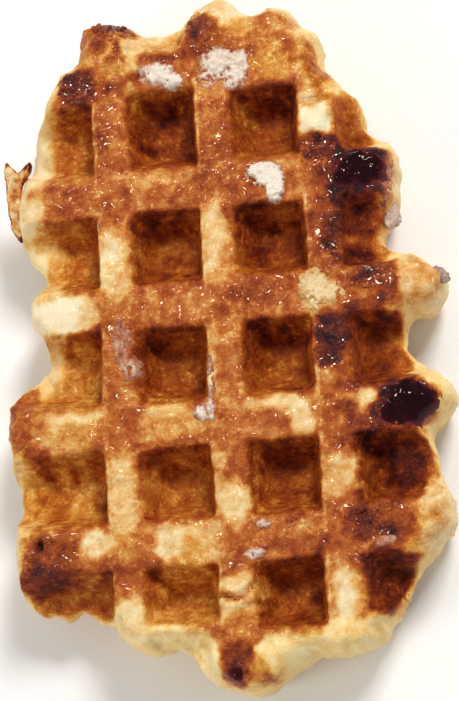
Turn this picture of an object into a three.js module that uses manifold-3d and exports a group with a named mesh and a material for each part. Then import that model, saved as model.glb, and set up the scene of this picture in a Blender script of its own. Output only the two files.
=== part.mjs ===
// Liege waffle: one thick oblong waffle of pearl-sugar dough, lying flat on its underside.
// Millimetres. +X runs across the waffle, +Y along it towards its far end, +Z up.
// The origin is on the table, under the middle of the waffle's box.
import * as THREE from "three";
import { mergeVertices } from "three/addons/utils/BufferGeometryUtils.js";
import Module from "manifold-3d";

const wasm = await Module();
wasm.setup();

// The iron: two plates with rows of tapered teeth, which leave ribs between them.
const thickness = 26;
const columnPitch = 24;
const rowPitch = 27;
const ribX = 0.5;
const ribY = 7.3;
const crestAcross = 6;
const crestAlong = 8;
const wallRun = 4.6;
const webThickness = 6;
const webMiddle = 12.7;
const toothReach = 3;
const noseRadius = 1.1;
const crestRound = 0.9;
const toothCorner = 2.6;
const toothSides = 16;
const openingJitter = 0.8;

// Cells are counted from the left column and from the far row.
const columns = 4;
const rows = 5;
const leftRib = -2;
const farRib = 2;
const outside = 75;

// The free rim: dough that swelled past the teeth and set round.
const rimSteps = 160;
const rimRound = 4;
const rimDrop = 8.5;
const rimRoundSteps = 3;
const webRound = 2.6;

// The rim's outline, clockwise from the far left corner. Ribs end in lobes, cells in bays.
const farEnd = [
  [-30.4, 73.5],
  [-29.6, 76.8],
  [-25.5, 78],
  [-19.2, 77.2],
  [-14.6, 74.4],
  [-9.4, 73.6],
  [-5.8, 75],
  [-2.4, 78.7],
  [3.2, 80.9],
  [7.6, 78.9],
  [11, 76.6],
  [15, 77.8],
  [19.6, 76],
  [22.4, 72.4],
  [25.8, 69.6],
];
const rightSide = [
  [26.9, 62],
  [30.6, 56.8],
  [34.4, 52.8],
  [35.9, 46],
  [40, 42.6],
  [42.7, 37.6],
  [42.2, 32],
  [41, 27],
  [38.6, 22.6],
  [38.4, 18.8],
  [42.6, 17],
  [47.4, 14.2],
  [51.4, 10],
  [50.6, 5.4],
  [47.6, 2.7],
  [43, 1.8],
  [41.2, -2.2],
  [41.4, -7],
  [45, -9.3],
  [49.4, -12],
  [51.5, -16.6],
  [49.4, -21],
  [45.8, -24.6],
  [46.3, -30],
  [47.2, -35.6],
  [49.2, -40.4],
  [48.8, -46],
  [45.6, -51.2],
  [41.2, -55.4],
  [38.4, -60.4],
  [35, -66.4],
  [31, -71.2],
];
const nearEnd = [
  [24, -73.3],
  [17.4, -73],
  [12.8, -75.6],
  [8, -79.2],
  [2, -80.9],
  [-3.6, -79.2],
  [-8.2, -76.4],
  [-11, -71.6],
  [-15, -69.6],
  [-20.4, -70.4],
  [-25.4, -67.8],
  [-29, -63.4],
  [-34.8, -60.2],
];
const leftSide = [
  [-39.6, -61.2],
  [-45, -59.4],
  [-49, -56.8],
  [-50.9, -50],
  [-50.4, -41],
  [-50.2, -32],
  [-51.2, -23],
  [-51.4, -15],
  [-49.8, -9],
  [-44.6, -5.8],
  [-41.4, -1.6],
  [-42.4, 2.8],
  [-45.4, 6.8],
  [-45.6, 12],
  [-42.6, 15.8],
  [-43, 18.4],
  [-46.2, 23],
  [-48.4, 28.6],
  [-48.2, 35],
  [-46.6, 41],
  [-44.4, 46.4],
  [-43, 51.6],
  [-40.6, 56.8],
  [-38.2, 62.4],
  [-35, 67.4],
  [-31.8, 70],
];
const rim = [...farEnd, ...rightSide, ...nearEnd, ...leftSide];

// Cells that the dough filled less deeply or only in part.
const partCells = [
  { column: 1, row: 4, nearEdge: -64 },
  { column: 2, row: 4, nearEdge: -66 },
  { column: 3, row: 4, nearEdge: -64 },
];

// Shallow hollows in the tops of the border, each a tooth's span and how deep it goes.
const hollows = [
  { x: [-19.5, -4.5], y: [67, outside + 15], depth: 4.5 },
  { x: [7, 21.5], y: [67.5, 74.5], depth: 2.2 },
  { x: [-21, -4.5], y: [-outside - 15, -66], depth: 6 },
  { x: [29, outside], y: [-outside - 15, -66], depth: 7 },
];

// Swellings of the free rim: [x, y, z] of the middle, then the half sizes.
const puffs = [
  { at: [-38.4, 53.4, 13], half: [5.4, 10, 5] },
  { at: [-41.4, 23.4, 13], half: [6, 8.6, 5] },
  { at: [-38.4, -1.6, 12.7], half: [4.4, 7, 4.2] },
  { at: [-45, -37, 12.8], half: [5.4, 9, 4.8] },
  { at: [32, 50.6, 13.6], half: [6.6, 8, 6.6] },
  { at: [34.6, 22.6, 14], half: [8.4, 9.4, 6.6] },
  { at: [41, -32, 13.2], half: [6.2, 9.4, 5.6] },
  { at: [31, -62.4, 13], half: [6.6, 7, 5.6] },
  { at: [-19.4, -65, 13], half: [10, 5.6, 6] },
];

// Pearls of sugar that melted through to the crust: [x, y] of the middle and half sizes.
const pearls = [
  { at: [-10.7, 61.1, 25.4], half: [4, 2.8, 1.7] },
  { at: [4.7, 61.1, 25.4], half: [5, 3.8, 1.8] },
  { at: [12.9, 33.7, 25.6], half: [4, 3.2, 1.5] },
  { at: [23.1, 7.4, 25.5], half: [3.6, 4.2, 1.7] },
  { at: [26.5, -34, 24.8], half: [4, 5, 2.4] },
  { at: [-19.4, -2.6, 22.8], half: [2.6, 5.6, 2.6] },
  { at: [-3.2, -18.3, 25.5], half: [2.6, 2.6, 1.5] },
  { at: [7.4, -43.8, 25.5], half: [2.4, 2, 1.3] },
  { at: [40.6, 25.6, 15], half: [2.4, 3, 2.6] },
  { at: [49.3, 10, 15.6], half: [2.2, 2.4, 2.8] },
];

// Pools of burnt sugar, set hard as low domes on the crests.
const pools = [
  { at: [33.6, 34.2, 25], half: [9.6, 6.4, 1.9] },
  { at: [40.6, -18.6, 24.2], half: [6.2, 5.6, 2.3] },
  { at: [-30.6, 60.6, 25.2], half: [4.2, 3.6, 1.4] },
  { at: [1, -75.4, 24.4], half: [4.6, 4.4, 1.6] },
];

// A flake of thin dough that burnt against the left rim.
const flakeOutline = [
  [-47.2, 27],
  [-50.4, 31],
  [-51.5, 36],
  [-51.3, 44.6],
  [-49.8, 47],
  [-47.4, 45],
  [-44.6, 44.6],
  [-46, 40],
];
const flakeBottom = 9;
const flakeHeight = 9;

const crust = new THREE.MeshStandardMaterial({
  color: 0xb8692f,
  roughness: 0.45,
  metalness: 0,
});

// A number generator with a fixed start, so that the waffle comes out the same each time.
function seeded(seed) {
  let state = seed;
  return () => {
    state = (state * 1664525 + 1013904223) % 4294967296;
    return state / 4294967296 - 0.5;
  };
}

// A closed three.js geometry as a solid that can be joined and cut.
function solidOf(geometry) {
  const bare = geometry.clone();
  bare.deleteAttribute("normal");
  bare.deleteAttribute("uv");
  const merged = mergeVertices(bare, 1e-4);
  const mesh = new wasm.Mesh({
    numProp: 3,
    vertProperties: merged.attributes.position.array,
    triVerts: new Uint32Array(merged.index.array),
  });
  return new wasm.Manifold(mesh);
}

// A solid as a three.js geometry with flat normals.
function geometryOf(solid) {
  const mesh = solid.getMesh();
  const geometry = new THREE.BufferGeometry();
  geometry.setAttribute("position", new THREE.BufferAttribute(mesh.vertProperties, 3));
  geometry.setIndex(new THREE.BufferAttribute(mesh.triVerts, 1));
  geometry.computeVertexNormals();
  return geometry;
}

// A closed outline through the points, as a shape of evenly spaced steps.
function smoothShape(points, steps) {
  const knots = points.map(([x, y]) => new THREE.Vector3(x, y, 0));
  const curve = new THREE.CatmullRomCurve3(knots, true, "centripetal");
  const spaced = curve.getSpacedPoints(steps).slice(0, steps);
  const flat = spaced.map((point) => new THREE.Vector2(point.x, point.y));
  return new THREE.Shape(flat.reverse());
}

// A slab with the given outline and rounded edges, from bottom to bottom + height.
function slab(shape, bottom, height, drop, round, roundSteps) {
  const geometry = new THREE.ExtrudeGeometry(shape, {
    depth: height - 2 * drop,
    bevelThickness: drop,
    bevelSize: round,
    bevelOffset: -round,
    bevelSegments: roundSteps,
    curveSegments: 1,
  });
  geometry.translate(0, 0, bottom + drop);
  return geometry;
}

// One tooth of the iron, tip down: a cylinder whose rings are drawn out into rounded
// rectangles. Each ring stands in from the opening by its own amount.
function tooth(halfX, halfY, depth) {
  const rings = [
    { inset: -crestRound - 0.3, z: 2 },
    { inset: -crestRound, z: 0 },
    { inset: crestRound * 0.4, z: -crestRound * 1.3 },
    { inset: wallRun - noseRadius, z: noseRadius - depth },
    { inset: wallRun + noseRadius * 0.3, z: -depth },
  ];
  const steps = rings.length - 1;
  const geometry = new THREE.CylinderGeometry(1, 1, 1, toothSides, steps);
  const place = geometry.attributes.position;
  for (let i = 0; i < place.count; i += 1) {
    const ring = rings[Math.round((0.5 - place.getY(i)) * steps)];
    const reach = Math.hypot(place.getX(i), place.getZ(i));
    const c = place.getX(i) / Math.max(reach, 0.5);
    const s = -place.getZ(i) / Math.max(reach, 0.5);
    const sideX = Math.abs(c) < 1e-4 ? 0 : Math.sign(c);
    const sideY = Math.abs(s) < 1e-4 ? 0 : Math.sign(s);
    const flatX = halfX - ring.inset - toothCorner;
    const flatY = halfY - ring.inset - toothCorner;
    const x = sideX * flatX + c * toothCorner;
    const y = sideY * flatY + s * toothCorner;
    place.setXYZ(i, reach * x, reach * y, ring.z);
  }
  return geometry;
}

// The span of one cell's opening, which border cells carry on past the rim.
function cellSpan(column, row) {
  const left = ribX + (leftRib + column) * columnPitch + crestAcross / 2;
  const far = ribY + (farRib - row) * rowPitch - crestAlong / 2;
  const part = partCells.find((cell) => cell.column === column && cell.row === row);
  return {
    left: column === 0 ? -outside : left,
    right: column === columns - 1 ? outside : left + columnPitch - crestAcross,
    far,
    near: part ? part.nearEdge : far - rowPitch + crestAlong,
  };
}

// A tooth set into the dough from above, or turned over and set in from below.
function toothAt(span, depth, fromBelow) {
  const halfX = (span.right - span.left) / 2;
  const halfY = (span.far - span.near) / 2;
  const geometry = tooth(halfX, halfY, depth);
  if (fromBelow) geometry.rotateX(Math.PI);
  const z = fromBelow ? 0 : thickness;
  geometry.translate((span.left + span.right) / 2, (span.far + span.near) / 2, z);
  return solidOf(geometry);
}

// All the teeth of both plates, each a little off its size as baked dough is.
function ironTeeth() {
  const jitter = seeded(7);
  const teeth = [];
  for (let row = 0; row < rows; row += 1) {
    for (let column = 0; column < columns; column += 1) {
      const span = cellSpan(column, row);
      const corner = column === 0 && row === rows - 1;
      const worn = {
        left: span.left + openingJitter * jitter(),
        right: span.right + openingJitter * jitter(),
        far: span.far + openingJitter * jitter(),
        near: corner ? -outside : span.near + openingJitter * jitter(),
      };
      const half = thickness / 2;
      teeth.push(toothAt(worn, half + toothReach, false));
      teeth.push(toothAt(worn, half + toothReach, true));
    }
  }
  return teeth;
}

// A lump of dough or sugar: a ball of facets drawn out to its half sizes.
function lump({ at, half }, detail) {
  const geometry = new THREE.IcosahedronGeometry(1, detail);
  geometry.scale(...half);
  geometry.translate(...at);
  return solidOf(geometry);
}

function flake() {
  const shape = smoothShape(flakeOutline, 26);
  return solidOf(slab(shape, flakeBottom, flakeHeight, 2.5, 1, 1));
}

function waffle() {
  const outline = smoothShape(rim, rimSteps);
  const thick = solidOf(slab(outline, 0, thickness, rimDrop, rimRound, rimRoundSteps));
  const webBottom = webMiddle - webThickness / 2;
  const thin = solidOf(slab(outline, webBottom, webThickness, webRound, webRound, 2));
  const ribs = thick.subtract(wasm.Manifold.union(ironTeeth()));
  const spans = hollows.map(({ x, y, depth }) => {
    const span = { left: x[0], right: x[1], near: y[0], far: y[1] };
    return toothAt(span, depth, false);
  });
  const lumps = [
    ...puffs.map((puff) => lump(puff, 2)),
    ...pools.map((pool) => lump(pool, 2)),
    ...pearls.map((pearl) => lump(pearl, 1)),
  ];
  const dough = ribs.subtract(wasm.Manifold.union(spans));
  return wasm.Manifold.union([dough, thin, flake(), ...lumps]);
}

const waffleMesh = new THREE.Mesh(geometryOf(waffle()), crust);
waffleMesh.name = "waffle";

const part = new THREE.Group();
part.add(waffleMesh);

export default part;
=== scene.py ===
# %% [markdown]
# # A liege waffle
# A liege waffle is a thick brioche dough with lumps of pearl sugar, pressed between two iron plates.
# The plates' teeth leave deep pockets, the ribs between them brown, the sugar melts to caramel, and
# the rim swells out where no iron holds it. This lesson builds the waffle as one surface worked out
# with numpy, adds its sugar and caramel, and paints them with node materials.

# %% Load the frame
import math

import bpy
import numpy as np
from mathutils import Matrix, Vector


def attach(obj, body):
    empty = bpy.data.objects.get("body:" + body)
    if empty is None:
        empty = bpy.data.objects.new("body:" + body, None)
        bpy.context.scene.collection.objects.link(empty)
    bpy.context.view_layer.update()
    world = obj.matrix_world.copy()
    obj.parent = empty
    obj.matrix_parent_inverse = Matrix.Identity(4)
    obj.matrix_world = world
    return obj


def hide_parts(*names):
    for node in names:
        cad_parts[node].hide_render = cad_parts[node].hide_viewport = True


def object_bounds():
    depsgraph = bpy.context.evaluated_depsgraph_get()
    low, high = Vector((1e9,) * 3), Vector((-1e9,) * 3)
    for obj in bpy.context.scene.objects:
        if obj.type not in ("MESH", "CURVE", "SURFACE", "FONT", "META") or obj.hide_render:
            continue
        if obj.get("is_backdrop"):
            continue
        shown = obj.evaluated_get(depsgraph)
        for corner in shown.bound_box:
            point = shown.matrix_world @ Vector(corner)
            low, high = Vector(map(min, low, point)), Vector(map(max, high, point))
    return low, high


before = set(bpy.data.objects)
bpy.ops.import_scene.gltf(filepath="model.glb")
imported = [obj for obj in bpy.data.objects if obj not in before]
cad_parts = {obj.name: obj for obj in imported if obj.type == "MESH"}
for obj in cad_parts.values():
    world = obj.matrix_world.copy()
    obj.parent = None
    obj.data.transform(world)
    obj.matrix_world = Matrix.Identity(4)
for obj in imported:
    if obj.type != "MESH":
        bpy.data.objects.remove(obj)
cad_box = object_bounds()
MM = 0.001
print("the solid waffle's box in metres:", cad_box)

# %% [markdown]
# ## The iron
# Both plates carry the same rows of tapered teeth, so a few sizes describe all the pockets: how far
# apart the ribs are, how wide their crests are, and how deep a pocket is. All lengths in this lesson
# are millimetres, and they become metres when a mesh is made. +X runs across the waffle, +Y along
# it, and the waffle lies on z = 0.

# %% Sizes of the iron
THICKNESS = 26.0
MIDDLE = 12.7
COLUMN_PITCH = 24.0
ROW_PITCH = 27.0
RIB_X = 0.5
RIB_Y = 7.3
CREST_ACROSS = 6.4
CREST_ALONG = 8.6
POCKET_DEPTH = 10.3
COLUMNS = 4
ROWS = 5
LEFT_RIB = -2
FAR_RIB = 2
OUTSIDE = 90.0
print(f"{COLUMNS} columns of pockets {COLUMN_PITCH - CREST_ACROSS:.1f} mm wide")

# %% [markdown]
# ## The rim
# The rim isn't pressed by any iron, so it has no simple formula: it is a smooth closed curve through
# listed points, a lobe where a rib ends and a bay where a pocket does. A Bezier curve could be
# drawn too, with two handles for each point. A Catmull-Rom curve is used because it needs the points
# alone and passes through them all.

# %% Points on the rim, clockwise from the far left corner
FAR_END = [
    (-30.9, 71.8), (-30.2, 76.2), (-25.5, 78), (-19.2, 77.2), (-14.6, 74.4),
    (-9.4, 73.6), (-5.8, 75), (-2.4, 78.7), (3.2, 80.9), (7.6, 78.9),
    (11, 76.6), (15, 77.8), (19.6, 76), (22.4, 72.4), (25.8, 69.6),
]
RIGHT_SIDE = [
    (26.9, 62), (30.6, 56.8), (34.4, 52.8), (35.9, 46), (40, 42.6),
    (42.7, 37.6), (42.2, 32), (41, 27), (38.6, 22.6), (38.4, 18.8),
    (42.6, 17), (47.4, 14.2), (51.4, 10), (50.6, 5.4), (47.6, 2.7),
    (43, 1.8), (41.2, -2.2), (41.4, -7), (45, -9.3), (49.4, -12),
    (51.5, -16.6), (49.4, -21), (45.8, -24.6), (46.3, -30), (47.2, -35.6),
    (49.2, -40.4), (48.8, -46), (45.6, -51.2), (41.2, -55.4), (38.4, -60.4),
    (35, -66.4), (31, -71.2),
]
NEAR_END = [
    (24, -73.3), (17.4, -73), (12.8, -75.6), (8, -79.2), (2, -80.9),
    (-3.6, -79.2), (-8.2, -76.4), (-11, -71.6), (-15, -69.6), (-20.4, -70.4),
    (-25.4, -67.8), (-29, -63.6), (-32.6, -62.2), (-36.2, -59.2),
]
LEFT_SIDE = [
    (-39.4, -61.6), (-43.6, -59.8), (-45.6, -60.2), (-49, -56.8), (-50.9, -50), (-50.4, -41),
    (-50.2, -32), (-51.2, -23), (-51.4, -15), (-49.8, -9), (-44.6, -5.8),
    (-41.4, -1.6), (-42.4, 2.8), (-45.4, 6.8), (-45.2, 12), (-41.4, 15.2),
    (-42.2, 18.6), (-45.6, 23), (-47.2, 28.6), (-47.2, 35), (-46.0, 41),
    (-44.4, 46.4), (-43, 51.6), (-40.6, 56.8), (-38.0, 62.2), (-35.2, 66.2),
    (-32.2, 67.8),
]
RIM = np.array(FAR_END + RIGHT_SIDE + NEAR_END + LEFT_SIDE, float)
print(f"{len(RIM)} points on the rim set by hand")

# %% [markdown]
# ## Noise
# Baked dough is uneven at every size: the whole rim wanders, crests are bumpy, and browning comes in
# patches. Blender's own noise sits in textures and modifiers. Here the same noise has to move points,
# bend borders and set colours, so it is a function of whole arrays. A seed makes it come out alike on
# each run.

# %% Noise on a lattice
LATTICE = 97
SHIFT = 1000
FADE = 0.6


def noise(x, y, cell, seed):
    """Random heights from -1 to 1 on a square lattice of the cell's size, joined by smooth steps."""
    lattice = np.random.default_rng(seed).uniform(-1, 1, (LATTICE, LATTICE))
    u = np.asarray(x) / cell + SHIFT
    v = np.asarray(y) / cell + SHIFT
    i = np.floor(u).astype(int)
    j = np.floor(v).astype(int)
    a = u - i
    b = v - j
    a = a * a * (3 - 2 * a)
    b = b * b * (3 - 2 * b)
    left = i % LATTICE
    right = (i + 1) % LATTICE
    near = j % LATTICE
    far = (j + 1) % LATTICE
    low = lattice[left, near] * (1 - a) + lattice[right, near] * a
    high = lattice[left, far] * (1 - a) + lattice[right, far] * a
    return low * (1 - b) + high * b


def rough(x, y, cell, seed, octaves=3):
    """A sum of noises, each of half the cell and 0.6 of the height of the one before."""
    total = 0.0
    for k in range(octaves):
        total = total + FADE**k * noise(x, y, cell / 2**k, seed + 17 * k)
    return total / sum(FADE**k for k in range(octaves))


print("noise at three places:", noise(np.array([0.0, 5.0, 10.0]), 0.0, 4.0, 1).round(2))


# %% A closed curve through points
def closed_curve(knots, per_span):
    """A centripetal Catmull-Rom curve: cubic spans whose end slopes are weighted by the square
    roots of the distances between the points."""
    before = np.roll(knots, 1, axis=0)
    after = np.roll(knots, -1, axis=0)
    beyond = np.roll(knots, -2, axis=0)
    span = np.sqrt(np.linalg.norm(after - knots, axis=1))[:, None]
    last = np.roll(span, 1, axis=0)
    following = np.roll(span, -1, axis=0)
    slope_in = (knots - before) / last - (after - before) / (last + span) + (after - knots) / span
    slope_out = (after - knots) / span - (beyond - knots) / (span + following)
    slope_out = slope_out + (beyond - after) / following
    t = np.linspace(0, 1, per_span, endpoint=False)[None, :, None]
    start = knots[:, None] * (2 * t**3 - 3 * t**2 + 1)
    start = start + (slope_in * span)[:, None] * (t**3 - 2 * t**2 + t)
    end = after[:, None] * (-2 * t**3 + 3 * t**2)
    end = end + (slope_out * span)[:, None] * (t**3 - t**2)
    return (start + end).reshape(-1, 2)


# %% The rim, ragged as torn dough is
RAGGED = 0.42
PER_SPAN = 7


def ragged(curve):
    """Each point of the curve moved along its normal by noise of two sizes."""
    along = np.roll(curve, -1, axis=0) - np.roll(curve, 1, axis=0)
    normal = np.column_stack([-along[:, 1], along[:, 0]])
    normal = normal / np.linalg.norm(normal, axis=1)[:, None]
    wave = noise(curve[:, 0], curve[:, 1], 4.2, 5) + 0.6 * noise(curve[:, 0], curve[:, 1], 1.7, 6)
    return curve + normal * (RAGGED * wave)[:, None]


rim_curve = ragged(closed_curve(RIM, PER_SPAN))
print(f"the rim's curve has {len(rim_curve)} points")

# %% [markdown]
# ## How far in from the rim
# Much of the waffle depends on how far a spot is from the rim: the edge rounds off there, and the
# dough stays pale. Blender's BVH tree finds the nearest place on a mesh, but for one spot at a time.
# Whole arrays are faster: the distance to a closed curve is the smallest distance to any of its short
# pieces, and a spot is inside when a line from it crosses the curve an odd number of times.

# %% Distance in from the rim
AT_ONCE = 4096
JUST_INSIDE = 0.01


def depth_inside(x, y, curve=rim_curve):
    """The distance to the nearest piece of the curve, positive inside it, negative outside."""
    shape = np.shape(x)
    spot = np.column_stack([np.ravel(x), np.ravel(y)])
    a = curve
    b = np.roll(curve, -1, axis=0)
    edge = b - a
    length2 = (edge**2).sum(axis=1)
    rise = np.where(edge[:, 1] == 0, 1, edge[:, 1])
    nearest = np.full(len(spot), np.inf)
    inside = np.zeros(len(spot), bool)
    for first in range(0, len(spot), AT_ONCE):
        batch = slice(first, first + AT_ONCE)
        p = spot[batch, None, :] - a[None]
        share = np.clip((p * edge).sum(axis=2) / length2, 0, 1)
        gap = p - share[..., None] * edge
        nearest[batch] = np.sqrt((gap**2).sum(axis=2).min(axis=1))
        px = spot[batch, 0][:, None]
        py = spot[batch, 1][:, None]
        straddles = (a[None, :, 1] > py) != (b[None, :, 1] > py)
        crossing = a[None, :, 0] + (py - a[None, :, 1]) / rise * edge[:, 0]
        inside[batch] = (straddles & (px < crossing)).sum(axis=1) % 2 == 1
    return np.where(inside, nearest, -nearest).reshape(shape)


def way_in(x, y):
    """The distance in from the rim, at least a hundredth of a millimetre."""
    return np.maximum(depth_inside(x, y), JUST_INSIDE)


print(f"the middle lies {depth_inside(0.0, 0.0):.1f} mm in from the rim")

# %% [markdown]
# ## Ribs, pockets and web
# A slab with tapered blocks cut out by booleans would have the right pockets, but walls and edges as
# even as the iron's own. So the height of the crust is worked out for every spot from simple heights,
# which can be worn and bent. The ribs are a slab with rounded edges from which every tooth is cut
# away, the web between the pockets is a thin plate with rounded edges, and the crust is the higher
# of the two, with the crease between them softened. The lower face is the same sum turned over.

# %% Softened maximum and minimum, ramps and steps
EDGE_POWER = 2.8


def soft_max(a, b, width):
    """The larger of two heights, with the crease filled over the given width."""
    near = np.maximum(width - np.abs(a - b), 0) / width
    return np.maximum(a, b) + near * near * width / 4


def soft_min(a, b, width):
    """The smaller of two heights, with the crease rounded over the given width."""
    return -soft_max(-a, -b, width)


def soft_ramp(t, bend):
    """Zero below 0 and t above it, with a bend of the given size between."""
    return bend * np.logaddexp(0, t / bend)


def step(low, high, t):
    """A smooth step from 0 at low to 1 at high."""
    s = np.clip((t - low) / (high - low), 0, 1)
    return s * s * (3 - 2 * s)


def round_edge(share):
    """A flattened quarter circle's height: 0 at the rim, 1 from a share of 1 inwards."""
    s = np.clip(share, 0, 1)
    return np.sqrt(1 - (1 - s) ** EDGE_POWER)


def dome(x, y, middle_x, middle_y, half_x, half_y):
    """Half an ellipsoid's height: 1 in the middle, 0 at and beyond its edge."""
    spread = ((x - middle_x) / half_x) ** 2 + ((y - middle_y) / half_y) ** 2
    return np.sqrt(np.clip(1 - spread, 0, 1))


print(f"heights 1.0 and 1.1 softened over 1 give {soft_max(1.0, 1.1, 1.0):.2f}")

# %% [markdown]
# ## The sides of a tooth
# A tooth's four sides don't slope alike. Dough drags on one side when the iron opens, so the walls
# on the right of each pocket stand steeper than those on its left. How far a spot lies past each
# side, counted in that side's wall runs, says where it is: below 0 on a rib, 0 to 1 on a wall, over
# 1 on the floor. The least of the four ways is the spot's place in the pocket.

# %% How far into a pocket a spot lies
RUN_LEFT = 4.2
RUN_RIGHT = 2.5
RUN_FAR = 4.6
RUN_NEAR = 4.2
WORN_LEFT = 0.40
WORN_FAR = 0.15
WORN_NEAR = 0.2
CORNER = 0.35
OFF_TRUE = 0.35
NEAR_ENDS = {(0, 4): -OUTSIDE, (1, 4): -65.2, (2, 4): -67.2, (3, 4): -65.0}
FAR_ENDS = {(1, 0): 58.8}


def worn(t, bend):
    """A way past an edge whose first part is worn round: t squared over twice the bend, then t less
    half the bend; unchanged below 0."""
    return np.where(t < 0, t, np.where(t < bend, t * t / (2 * bend), t - bend / 2))


def pocket_share(x, y, seed):
    """The least of the four ways past a tooth's sides, each in its own wall's run, softened where
    two sides meet; over all the teeth the largest. Three of the crest edges are worn. Each side
    stands a little off its true place."""
    shift = np.random.default_rng(seed).uniform(-OFF_TRUE, OFF_TRUE, (COLUMNS, ROWS, 4))
    deepest = np.full(np.shape(x), -OUTSIDE)
    for column in range(COLUMNS):
        for row in range(ROWS):
            off = shift[column, row]
            left = RIB_X + (LEFT_RIB + column) * COLUMN_PITCH + CREST_ACROSS / 2
            right = left + COLUMN_PITCH - CREST_ACROSS
            far = RIB_Y + (FAR_RIB - row) * ROW_PITCH - CREST_ALONG / 2
            near = far - ROW_PITCH + CREST_ALONG
            near = NEAR_ENDS.get((column, row), near)
            far = FAR_ENDS.get((column, row), far)
            left = -OUTSIDE if column == 0 else left + off[0]
            right = OUTSIDE if column == COLUMNS - 1 else right + off[1]
            from_left = worn((x - left) / RUN_LEFT, WORN_LEFT)
            across = soft_min(from_left, (right - x) / RUN_RIGHT, CORNER)
            from_far = worn((far + off[2] - y) / RUN_FAR, WORN_FAR)
            from_near = worn((y - near - off[3]) / RUN_NEAR, WORN_NEAR)
            along = soft_min(from_far, from_near, CORNER)
            deepest = np.maximum(deepest, soft_min(across, along, CORNER))
    return deepest


print(f"a pocket's middle lies {pocket_share(12.5, -6.2, 100):.1f} wall runs in")

# %% [markdown]
# ## Swellings and hollows
# Where no iron presses, the dough swells into puffs, and where it ran short, a rib has a hollow.
# Sculpting could raise them, but an entry in a list can be read, moved and compared: a middle, two
# half sizes and a height. Heights are above the waffle's middle plane, a hollow's below the crest.
# Puffs swell both faces, and lumps the upper one alone.

# %% Puffs, hollows and lumps
HOLLOWS = [
    (-12, 78, 7.5, 11, 5.5), (14.2, 71, 7.2, 3.5, 1.8), (-12.8, -80, 8.2, 14, 6.5),
    (45, -80, 16, 14, 7),
]
PUFFS = [
    (-38.4, 53.4, 5.4, 10, 5), (-41.4, 23.4, 6, 8.6, 5), (-38.4, -1.6, 4.4, 7, 4.2),
    (-45, -37, 5.4, 9, 4.8), (32, 50.6, 6.6, 8, 8.2), (34.6, 22.6, 8.4, 9.4, 7.8),
    (41, -32, 6.2, 9.4, 6.6), (31, -62.4, 6.6, 7, 6), (-19.4, -65, 10, 5.6, 6.6),
]
LUMPS = [
    (24.6, 46, 4.8, 4.8, 14.9), (26.6, 49, 3.8, 4.4, 14.7), (-36, 7.2, 9, 5.6, 13),
    (5.4, 75, 7.4, 6.2, 11.8), (-0.2, 70.6, 4.6, 6.4, 13.9), (17.4, 73.4, 6.6, 4.8, 9.6),
    (24.6, 63, 4.4, 6.4, 12.2), (-22.4, 72, 6, 5, 13.2), (-15.4, 69.6, 3.2, 3.6, 11.8),
    (-25, 71, 2.4, 2.6, 14.2), (-18.8, 69.2, 2.4, 2, 13.9), (-17.6, 59.8, 1.6, 2.2, 14.2),
    (-22, 66.2, 2.8, 1.8, 13.8), (-30, 60.4, 5, 5.2, 12.8), (-14, 67, 3.4, 3, 11.6),
    (46.6, 7.6, 6.4, 7.6, 10.4), (44.8, 5.2, 2.2, 2.4, 11.2), (47.6, 9.4, 2, 2.4, 10.8),
    (43.8, 10, 1.8, 2, 11.6), (48, 5.6, 1.8, 1.8, 9.6), (47.6, -17.6, 5.6, 8.4, 9.8),
    (45.8, -44.6, 6, 9.6, 10.4), (0.8, -74.4, 5.6, 7.4, 12.6), (42, 33, 3, 7.6, 9.6),
    (-8.4, -72, 5, 6, 8.4), (25, -68, 6, 7, 11.6), (-20.4, -57, 5.6, 5.4, 11.4),
]
print(f"{len(HOLLOWS)} hollows, {len(PUFFS)} puffs, {len(LUMPS)} lumps")


# %% Spots pushed about by noise
def warped(x, y, seed):
    """Spots moved by noise of two sizes, so that no edge of the iron stays straight."""
    far_x = x + 0.45 * noise(x, y, 9.0, seed + 1) + 0.22 * noise(x, y, 2.6, seed + 2)
    far_y = y + 0.45 * noise(x, y, 9.0, seed + 3) + 0.22 * noise(x, y, 2.6, seed + 4)
    return far_x, far_y


# %% Height of one face above the middle plane
UPPER = 100
LOWER = 300
RIM_ROUND = 6.4
WEB_ROUND = 3.0
WEB_HALF = 2.9
LUMP_ROUND = 5.0
HOLLOW_CORNER = 3.0


def box_distance(x, y, middle_x, middle_y, half_x, half_y):
    """The distance to a rectangle with round corners, negative inside it."""
    across = np.abs(x - middle_x) - half_x + HOLLOW_CORNER
    along = np.abs(y - middle_y) - half_y + HOLLOW_CORNER
    outer = np.hypot(np.maximum(across, 0), np.maximum(along, 0))
    return outer + np.minimum(np.maximum(across, along), 0) - HOLLOW_CORNER


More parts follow.
